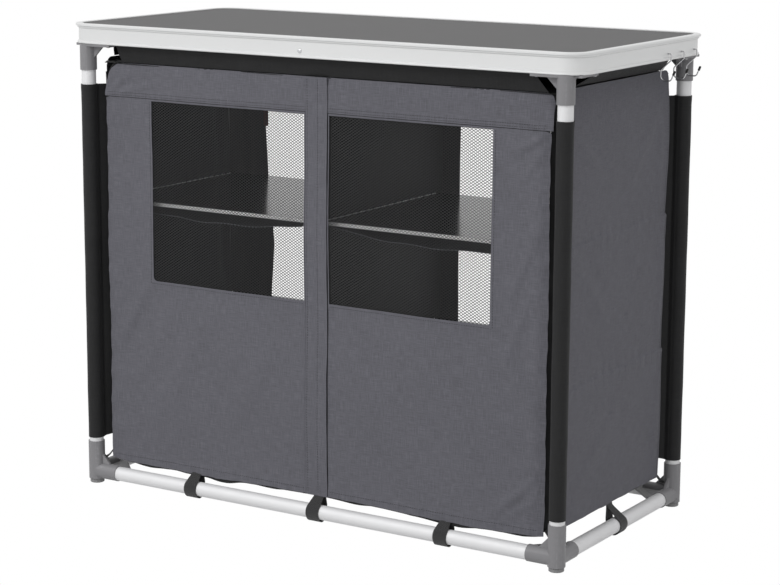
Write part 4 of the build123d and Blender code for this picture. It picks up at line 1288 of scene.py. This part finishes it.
# black strip from behind the front or rear cloth to the side panel: straight between its
# ends plus bow sin(pi share)
def makeCornerStrip(name, sx, sy):
    start, end = np.array(cornerStrip["start"]), np.array(cornerStrip["end"])
    share = np.linspace(0, 1, 15)
    run = end - start
    length = math.hypot(*run)
    square = np.array((-run[1], run[0])) / length
    plan = start + share[:, None] * run
    up = linesBetween([cornerStrip["bottom"], cornerStrip["top"]], 0.005)
    s, z = np.meshgrid(share, up)
    uneven = 0.0006 * unevenness(s * length, z, 300 + sx + 2 * sy, 0.05, 0.2)
    bow = (cornerStrip["bow"] + uneven) * np.sin(np.pi * s)
    x = plan[None, :, 0] + square[0] * bow
    y = plan[None, :, 1] + square[1] * bow
    # the upper end starts as low as the front cloth's own corner there
    lower = (0.036, 0.036) if name == "front_left" else (0.002, 0.010)
    z = z - (lower[0] * (1 - s) ** 2 + lower[1] * s**2) * unit((z - 0.70) / 0.054)
    piece = addCloth(
        "cornerStrip_" + name, stacked(sx * x, sy * y, z), cornerStrip["thickness"],
        (sx, sy, 0), stacked(s * length, z), "trim_cloth", ["corner_sleeve_" + name],
    )


cornerTie = {
    "place": (0.4445, 0.1895, 0.0585),
    "width": (0.0160, -0.0270),
    "run": (0.0115, 0.0110, -0.0150),
    "narrowing": 0.62,
    "thickness": 0.0009,
}


# small triangular tie from the cabinet floor's corner down to the connector: place + width
# (u - 1/2), narrower towards the connector, + run v, with a low sag and ripple
def makeCornerTie(name, sx, sy):
    u, v = np.meshgrid(np.linspace(0, 1, 8), np.linspace(0, 1, 9))
    narrow = 1 - cornerTie["narrowing"] * v
    x, y = (
        cornerTie["place"][k] + (u - 0.5) * cornerTie["width"][k] * narrow + cornerTie["run"][k] * v
        for k in (0, 1)
    )
    z = cornerTie["place"][2] + cornerTie["run"][2] * v
    z = z - 0.0020 * np.sin(np.pi * v) + 0.0010 * np.sin(9 * u + 5 * v)
    piece = addCloth(
        "cornerTie_" + name, stacked(sx * x, sy * y, z), cornerTie["thickness"], (0, 0, 1),
        stacked(u * 0.031, v * 0.026), "trim_cloth",
    )


for name, (sx, sy) in corners.items():
    makeSleeve(name, sx, sy)
    makeCornerStrip(name, sx, sy)
    makeCornerTie(name, sx, sy)


# Skirt: half lengths of the lower and the upper edge at each end, and the run from the
# cabinet (reach, level) up to the rim (reach)
skirtTop = 0.7875
skirt = {
    "front": {"outward": (0, -1, 0), "run": (0.2024, 0.7555, 0.210), "low": (0.398, 0.430)},
    "rear": {"outward": (0, 1, 0), "run": (0.2024, 0.7555, 0.210), "low": (0.430, 0.398)},
    "left": {"outward": (-1, 0, 0), "run": (0.4504, 0.7615, 0.4798), "low": (0.160, 0.160)},
    "right": {"outward": (1, 0, 0), "run": (0.4504, 0.7615, 0.4798), "low": (0.160, 0.160)},
}
skirtHigh = {"front": 0.407, "rear": 0.407, "left": 0.124, "right": 0.124}


# straight from the cabinet's edge to the rim plus a bulge and waves times sin(pi share)
def makeSkirt(name, seed):
    shape = skirt[name]
    lowReach, lowLevel, highReach = shape["run"]
    a, v = np.meshgrid(np.linspace(-1, 1, 170), np.linspace(0, 1, 9))
    half = np.where(a < 0, *shape["low"]) * (1 - v)
    half = half + skirtHigh[name] * v
    sideways = np.cross(shape["outward"], (0, 0, 1))
    reach = lowReach + (highReach - lowReach) * v + 0.0012 * np.sin(np.pi * v)
    reach = reach + 0.0010 * unevenness(a * half, v * 0.03, seed, 0.03, 0.2) * np.sin(np.pi * v)
    level = lowLevel + (skirtTop - lowLevel) * v
    points = (
        np.array(shape["outward"], float) * reach[..., None]
        - sideways * (a * half)[..., None]
        + np.array((0, 0, 1.0)) * level[..., None]
    )
    piece = addCloth(
        "skirt_" + name, points, 0.0009, shape["outward"], stacked(a * half, v * 0.031),
        "trim_cloth", ["top_skirts"],
    )


for number, name in enumerate(skirt):
    makeSkirt(name, 400 + number)


# rolled black binding over the band's upper left corner
curlX = np.linspace(-0.4315, -0.3950, 40)
curlBell = np.sin(np.pi * np.linspace(0, 1, 40))
curlLevel = bandEdge(curlX) + (0.0012 + 0.0030 * curlBell**0.7) - 0.001
curlPath = stacked(curlX, -0.1985 + 0.0008 * np.sin(curlX * 300), curlLevel)
curlSize = 0.0011 + 0.0011 * curlBell**0.5
addPiece(carried("cornerRoll", curlPath, curlSize, 12), "trim_cloth", "root")


loop = {
    "width": 0.025,
    "thickness": 0.0011,
    "gap": 0.0005,
    "neckOut": 0.015,
    "neckUp": 0.027,
    "top": 0.0335,
    "slack": 0.0026,
    "alongFront": (-0.248, 0.008, 0.257),
    "tubeLevel": 0.022,
}


# the strap seen from its edge: down from the cabinet, round the tube and up again, with
# both ends sewn together above the neck; the line is resampled evenly and smoothed twice
def makeLoop(name, origin, inward, sideways):
    radius = leg["radius"] + loop["gap"] + loop["thickness"] / 2
    lean = math.atan2(loop["neckUp"], loop["neckOut"])
    angles = np.linspace(lean + math.radians(62), lean + math.radians(298), 48)
    slack = loop["slack"] * unit(-np.sin(angles)) ** 2
    ring = stacked(radius * np.cos(angles), radius * np.sin(angles) - slack)
    layer = loop["thickness"] * 0.55
    neck = np.array((loop["neckOut"], loop["neckUp"]))
    tab = np.array((loop["neckOut"], loop["top"]))
    first = np.vstack([tab + (-layer, 0), neck + (-layer, 0.003)])
    last = np.vstack([neck + (layer, 0.003), tab + (layer, 0)])
    corner = np.vstack([first, ring, last])
    length = travelled(corner)
    even = np.linspace(0, length[-1], 90)
    outline = np.column_stack([np.interp(even, length, corner[:, k]) for k in (0, 1)])
    for unused in range(2):
        outline[1:-1] = (outline[:-2] + 2 * outline[1:-1] + outline[2:]) / 4
    fromAxis = np.linalg.norm(outline, axis=1, keepdims=True)
    outline = outline * np.maximum(1, radius / fromAxis)
    narrow = 1 - 0.28 * unit((outline[:, 1] - 0.011) / 0.016)
    s, w = np.meshgrid(even, np.linspace(-0.5, 0.5, 9) * loop["width"])
    inward, up = np.array(inward, float), np.array((0, 0, 1.0))
    plan = outline[None, :, :1] * inward + outline[None, :, 1:] * up
    points = np.array(origin) + plan + np.array(sideways, float) * (w * narrow[None])[..., None]
    facing = np.broadcast_to(plan * (fromAxis[None] < radius * 1.05), points.shape)
    piece = addCloth(
        "loop_" + name, points, loop["thickness"], facing, stacked(w, s), "webbing",
        ["webbing_loops"],
    )


for sideName, side in (("front", -1), ("rear", 1)):
    for number, x in enumerate(loop["alongFront"]):
        place = (x, side * leg["y"], loop["tubeLevel"])
        makeLoop(f"{sideName}{number}", place, (0, -side, 0), (1, 0, 0))
for sideName, side in sides.items():
    place = (side * leg["x"], 0.0, loop["tubeLevel"])
    makeLoop(sideName, place, (-side, 0, 0), (0, 1, 0))


zipTape = {
    "middle": {"left": 0.011, "right": 0.020},
    "width": 0.011,
    "bottom": 0.0582,
    "top": 0.6955,
    "behind": 0.0012,
    "thickness": 0.0007,
    "coil": 0.0009,
}


# zip tapes behind the strip, each with the ridge of its coil: coil exp(-(off / width)^2)
def makeTape(name, side):
    reach = np.linspace(-0.5, 0.5, 12) * zipTape["width"]
    off, z = np.meshgrid(reach, linesBetween([zipTape["bottom"], zipTape["top"]], 0.006))
    x = zipTape["middle"][name] + off
    coil = zipTape["coil"] * near(off, 0.0016)
    points = stacked(side * x, front["plane"] + zipTape["behind"] + coil, z)
    piece = addCloth(
        "zipTape_" + name, points, zipTape["thickness"], (0, 1, 0), stacked(x, z), "zip_tape",
        ["zip_tapes"],
    )


for name, side in sides.items():
    makeTape(name, side)

sewnTag = {"x": -0.3885, "width": 0.0105, "y": 0.2022, "bottom": 0.604, "top": 0.642}
tagUp = np.linspace(sewnTag["bottom"], sewnTag["top"], 12)
tagShare, tagZ = np.meshgrid(np.linspace(0, 1, 7), tagUp)
tagLean = 0.0008 * (tagZ - sewnTag["bottom"]) / 0.038
tagY = sewnTag["y"] - 0.0006 * np.sin(np.pi * tagShare) - tagLean
piece = addCloth(
    "sewnTag", stacked(sewnTag["x"] + sewnTag["width"] * tagShare, tagY, tagZ), 0.0004,
    (0, -1, 0), stacked(tagShare * 0.012, tagZ), "tag_cloth", ["sewn_tag"],
)
print("sleeves, skirts, loops and trim made")


# Tube frame, table top and fittings
tubeSize = {"outer": 0.0125, "inner": 0.0113, "lip": 0.0004}


# open tube with rounded end lips, turned about its own axis
def makeTube(node, centre, axis, low, high):
    outer, inner, lip = (tubeSize[key] for key in ("outer", "inner", "lip"))
    outline = [
        (inner, low + lip), (inner + lip, low), (outer - lip, low), (outer, low + lip),
        (outer, high - lip), (outer - lip, high), (inner + lip, high), (inner, high - lip),
        (inner, low + lip),
    ]
    addPiece(turned("tube_" + node, outline, centre, axis, 48), "tube_metal", "root", [node])


for name, (sx, sy) in corners.items():
    low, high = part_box("leg_tube_" + name)
    centre = (sx * leg["x"], sy * leg["y"], 0)
    makeTube("leg_tube_" + name, centre, (0, 0, 1), low.z, high.z)
for name, axis in (("front", 0), ("rear", 0), ("left", 1), ("right", 1)):
    low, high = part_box("bottom_tube_" + name)
    middle = (low + high) / 2
    middle[axis] = 0
    direction = (1, 0, 0) if axis == 0 else (0, 1, 0)
    makeTube("bottom_tube_" + name, middle, direction, low[axis], high[axis])

polished("tabletop_board", "board_laminate", 0.0004)
polished("rim_frame", "rim_metal", 0.0003, 25)
polished("tabletop_brace", "brace_metal", 0.0003)
for name in corners:
    polished("upper_bracket_" + name, "connector_plastic", 0.0006)
    polished("lower_connector_" + name, "connector_plastic", 0.0006)
for name in sides:
    for level in shelfLevels:
        polished(f"shelf_{level}_{name}", "shelf_board", 0.0005)
polished("base_boards", "shelf_board", 0.0005)
polished("shelf_edges", "shelf_trim", 0.0002)

# thin bright seal along both sides of each shelf
seal = {"outer": 0.4466, "inner": 0.0034, "half": 0.178, "above": 0.0003, "radius": 0.0005}
for name, side in sides.items():
    for level in shelfLevels:
        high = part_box(f"shelf_{level}_{name}")[1]
        for edge in ("outer", "inner"):
            along = np.linspace(-seal["half"], seal["half"], 24)
            line = stacked(
                np.full(24, side * seal[edge]), along, np.full(24, high.z + seal["above"])
            )
            sealName = f"shelfSeal_{level}_{name}_{edge}"
            addPiece(carried(sealName, line, seal["radius"], 6, (1, 0, 0)), "shelf_trim", "root")


foot = {
    "radius": 0.0126, "height": 0.0077, "stem": 0.0040, "top": 0.032, "flutes": 14, "lip": 0.0010,
}


# a knob with shallow round flutes: radius (1 - depth (1/2 - cos(flutes turn) / 2)^2)
def makeFoot(name, sx, sy):
    radius, height, lip = foot["radius"], foot["height"], foot["lip"]
    outline = [
        (0.0, 0.0), (radius - 2 * lip, 0.0), (radius - lip, 0.0003), (radius, lip),
        (radius, height - lip), (radius - lip, height), (foot["stem"] + 0.0008, height),
    ]
    rod = [
        (0.0, height - 0.0005), (foot["stem"], height - 0.0005),
        (foot["stem"], foot["top"]), (0.0, foot["top"]),
    ]
    place, up = (sx * leg["x"], sy * leg["y"], 0), (0, 0, 1)

    def fluted(turn):
        return 1 - 0.028 * (0.5 - 0.5 * np.cos(turn * foot["flutes"])) ** 2

    disc = turned("disc", outline, place, up, foot["flutes"] * 8, fluted)
    stem = turned("stem", rod, place, up, 24)
    mesh = joined("screwFoot_" + name, [disc, stem])
    addPiece(mesh, "foot_plastic", "foot_" + name, ["foot_" + name])


for name, (sx, sy) in corners.items():
    makeFoot(name, sx, sy)


# the brackets' rivets are placed per corner, and the brace has one at each end
rivet = {
    "head": 0.0040,
    "rise": 0.0016,
    "tail": 0.0032,
    "shank": 0.00192,
    "bracketPlaces": ((0.417, 0.218), (0.488, 0.165)),
    "bracketLevel": 0.7813,
    "bracketGrip": 0.0062,
    "bracePlace": (-0.015, 0.225, 0.7965),
    "braceGrip": 0.0037,
}


# domed head below, plain shank, flat set tail above
def rivetOutline(grip):
    dome = np.radians(np.linspace(0, 90, 7))
    head = stacked(rivet["head"] * np.sin(dome), -rivet["rise"] * np.cos(dome))
    tail, rise = rivet["tail"], rivet["rise"]
    rest = [
        (rivet["shank"], 0.0), (rivet["shank"], grip), (tail, grip),
        (tail, grip + 0.0010), (tail - 0.0006, grip + rise), (0.0, grip + rise),
    ]
    return np.vstack([head, rest])


def makeRivets():
    places = []
    for sx, sy in corners.values():
        for x, y in rivet["bracketPlaces"]:
            places.append(
                (rivet["bracketGrip"], (sx * x, sy * y, rivet["bracketLevel"]), (0, 0, 1))
            )
    x, y, z = rivet["bracePlace"]
    for end in (-1, 1):
        places.append((rivet["braceGrip"], (x, end * y, z), (0, -end, 0)))
    made = [turned("rivet", rivetOutline(grip), place, axis, 20) for grip, place, axis in places]
    addPiece(joined("rivetSet", made), "rivet_metal", "root", ["rivets"])


makeRivets()


hook = {
    "points": [
        (0.4893, 0.8035), (0.4893, 0.796), (0.5008, 0.796), (0.5008, 0.7855),
        (0.483, 0.769), (0.4825, 0.752), (0.501, 0.752), (0.505, 0.7615),
    ],
    "bends": [0.0022, 0.0022, 0.0030, 0.0050, 0.0080, 0.0060],
    "along": {"front": 0.082, "middle": 0.132, "rear": 0.181},
    "wire": 0.0011,
    "cap": 0.0020,
    "capLength": 0.0080,
}


# straight runs joined by tangent arcs, in the plane of the points
def bentLine(points, bends):
    points = np.asarray(points, float)
    out = [points[:1]]
    for before, at, after, bend in zip(points[:-2], points[1:-1], points[2:], bends):
        back, on = before - at, after - at
        back, on = back / math.hypot(*back), on / math.hypot(*on)
        half = math.acos(float(np.clip(back @ on, -1, 1))) / 2
        middle = back + on
        centre = at + middle / math.hypot(*middle) * bend / math.sin(half)
        first, last = at + back * bend / math.tan(half), at + on * bend / math.tan(half)
        start = math.atan2(*(first - centre)[::-1])
        sweep = (math.atan2(*(last - centre)[::-1]) - start + math.pi) % (2 * math.pi) - math.pi
        turn = start + sweep * np.linspace(0, 1, 10)
        out.append(centre + bend * stacked(np.cos(turn), np.sin(turn)))
    out.append(points[-1:])
    return np.vstack(out)


# the wire along the bent line, and a cap with a domed end that goes on from its tip
def makeHook(name, y):
    line = bentLine(hook["points"], hook["bends"])
    path = stacked(line[:, 0], np.full(len(line), y), line[:, 1])
    body = "hook_" + name
    addPiece(carried("hookWire_" + name, path, hook["wire"], 12), "hook_wire", body, [body])
    ahead = (path[-1] - path[-2]) / np.linalg.norm(path[-1] - path[-2])
    dome = np.radians(np.linspace(0, 88, 7))[1:]
    radius = hook["cap"]
    back = hook["capLength"] - radius
    along = np.concatenate([[0, 0.0004, back], back + radius * np.sin(dome)])
    size = np.concatenate([[radius - 0.0004, radius, radius], radius * np.cos(dome)])
    cap = carried("hookCap_" + name, path[-1] + along[:, None] * ahead, size, 16)
    addPiece(cap, "hook_cap", body, ["hook_tip_" + name])


for name, y in hook["along"].items():
    makeHook(name, y)


# depth and size share of the slider's outlines, and the bridge over it
slider = {
    "layers": ((0, 0.90), (0.0003, 1.0), (0.0012, 1.0), (0.0015, 0.92)),
    "bridgeFrom": 0.0014,
    "bridgeRise": 0.0010,
    "bridgeHalf": 0.0040,
    "bridgeRadius": 0.0006,
}


# zip slider: a waisted plate, half width (1 - 0.1 cos(2 turn)^2), with a bridge over it
def makeSlider(name):
    low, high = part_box("zip_slider_" + name)
    middle = (low + high) / 2
    turn = np.linspace(0, 2 * np.pi, 40, endpoint=False)
    width = (high.x - low.x) / 2 * (1 - 0.10 * np.cos(2 * turn) ** 2)
    length = (high.z - low.z) / 2
    across, along = (np.sign(v) * np.abs(v) ** 0.8 for v in (np.cos(turn), np.sin(turn)))
    rings = [
        stacked(
            middle.x + share * width * across,
            np.full(40, low.y + depth),
            middle.z + share * length * along,
        )
        for depth, share in slider["layers"]
    ]
    plate = ringMesh("plate", np.array(rings))
    bow = np.radians(np.linspace(0, 180, 14))
    path = stacked(
        np.full(14, middle.x),
        low.y + slider["bridgeFrom"] + slider["bridgeRise"] * np.sin(bow),
        middle.z + slider["bridgeHalf"] * np.cos(bow),
    )
    bridge = carried("bridge", path, slider["bridgeRadius"], 8, (1, 0, 0))
    mesh = joined("zipSlider_" + name, [plate, bridge])
    addPiece(mesh, "zip_metal", "zip_slider_" + name, ["zip_slider_" + name])


for name in sides:
    makeSlider(name)
print("frame and fittings made")


# Lights, floor and background
studio = {
    "towards": (0.46, -0.64, 0.62),
    "ambientBehind": 0.20,
    "ambientBefore": 0.92,
    "paper": 0.55,
    "floorHalf": 14.0,
    "floorLevel": -0.0002,
    "key": 80.0,
    "keyPlace": (-1.5, -3.4, 3.3),
    "keyAim": (0, 0, 0.4),
    "keySize": 2.4,
}


# one where the ray comes from the camera, a mirror or a clear surface
def litFor(wire):
    path = wire.node("LightPath").outputs
    seen = wire.math("ADD", path["Is Camera Ray"], path["Is Glossy Ray"])
    seen = wire.math("ADD", seen, path["Is Transmission Ray"])
    return wire.math("MINIMUM", seen, 1.0)


# light from all round, stronger from before the cupboard than from behind it, while the
# camera sees plain white
def makeWorld():
    world = bpy.data.worlds.new("studio")
    bpy.context.scene.world = world
    world.use_nodes = True
    wire = Wiring(world.node_tree)
    facing = wire.node("VectorMath", operation="DOT_PRODUCT")
    place = wire.node("TexCoord").outputs["Generated"]
    wire.feed(facing, {0: place, 1: studio["towards"]})
    dark, bright = studio["ambientBehind"], studio["ambientBefore"]
    around = wire.span(facing.outputs["Value"], -1.0, 1.0, dark, bright)
    strength = wire.math("MAXIMUM", litFor(wire), around)
    backdrop = world.node_tree.nodes["Background"]
    wire.feed(backdrop, {"Color": (1, 1, 1, 1), "Strength": strength})


# white paper for the light that it throws back, and an even white for the camera
def makeFloor():
    half, level = studio["floorHalf"], studio["floorLevel"]
    floorMesh = bpy.data.meshes.new("floor")
    ends = ((-half, -half), (half, -half), (half, half), (-half, half))
    floorMesh.from_pydata([(x, y, level) for x, y in ends], [], [(0, 1, 2, 3)])
    floor = bpy.data.objects.new("floor", floorMesh)
    bpy.context.scene.collection.objects.link(floor)
    material, wire, surface = startMaterial(
        "studioFloor", Roughness=0.9, Specular_IOR_Level=0.0, Emission_Color=(1, 1, 1, 1)
    )
    seen = litFor(wire)
    paper = tint(wire, (studio["paper"],) * 3, wire.math("SUBTRACT", 1.0, seen))
    wire.feed(surface, {"Emission Strength": seen, "Base Color": paper})
    floorMesh.materials.append(material)


def makeKey():
    key = bpy.data.lights.new("key", "AREA")
    key.shape = "DISK"
    key.size = studio["keySize"]
    key.energy = studio["key"]
    lamp = bpy.data.objects.new("key", key)
    lamp.location = studio["keyPlace"]
    aim = Vector(studio["keyAim"]) - lamp.location
    lamp.rotation_euler = aim.to_track_quat("-Z", "Y").to_euler()
    bpy.context.scene.collection.objects.link(lamp)


makeWorld()
makeFloor()
makeKey()
bpy.context.scene.view_settings.view_transform = "Standard"
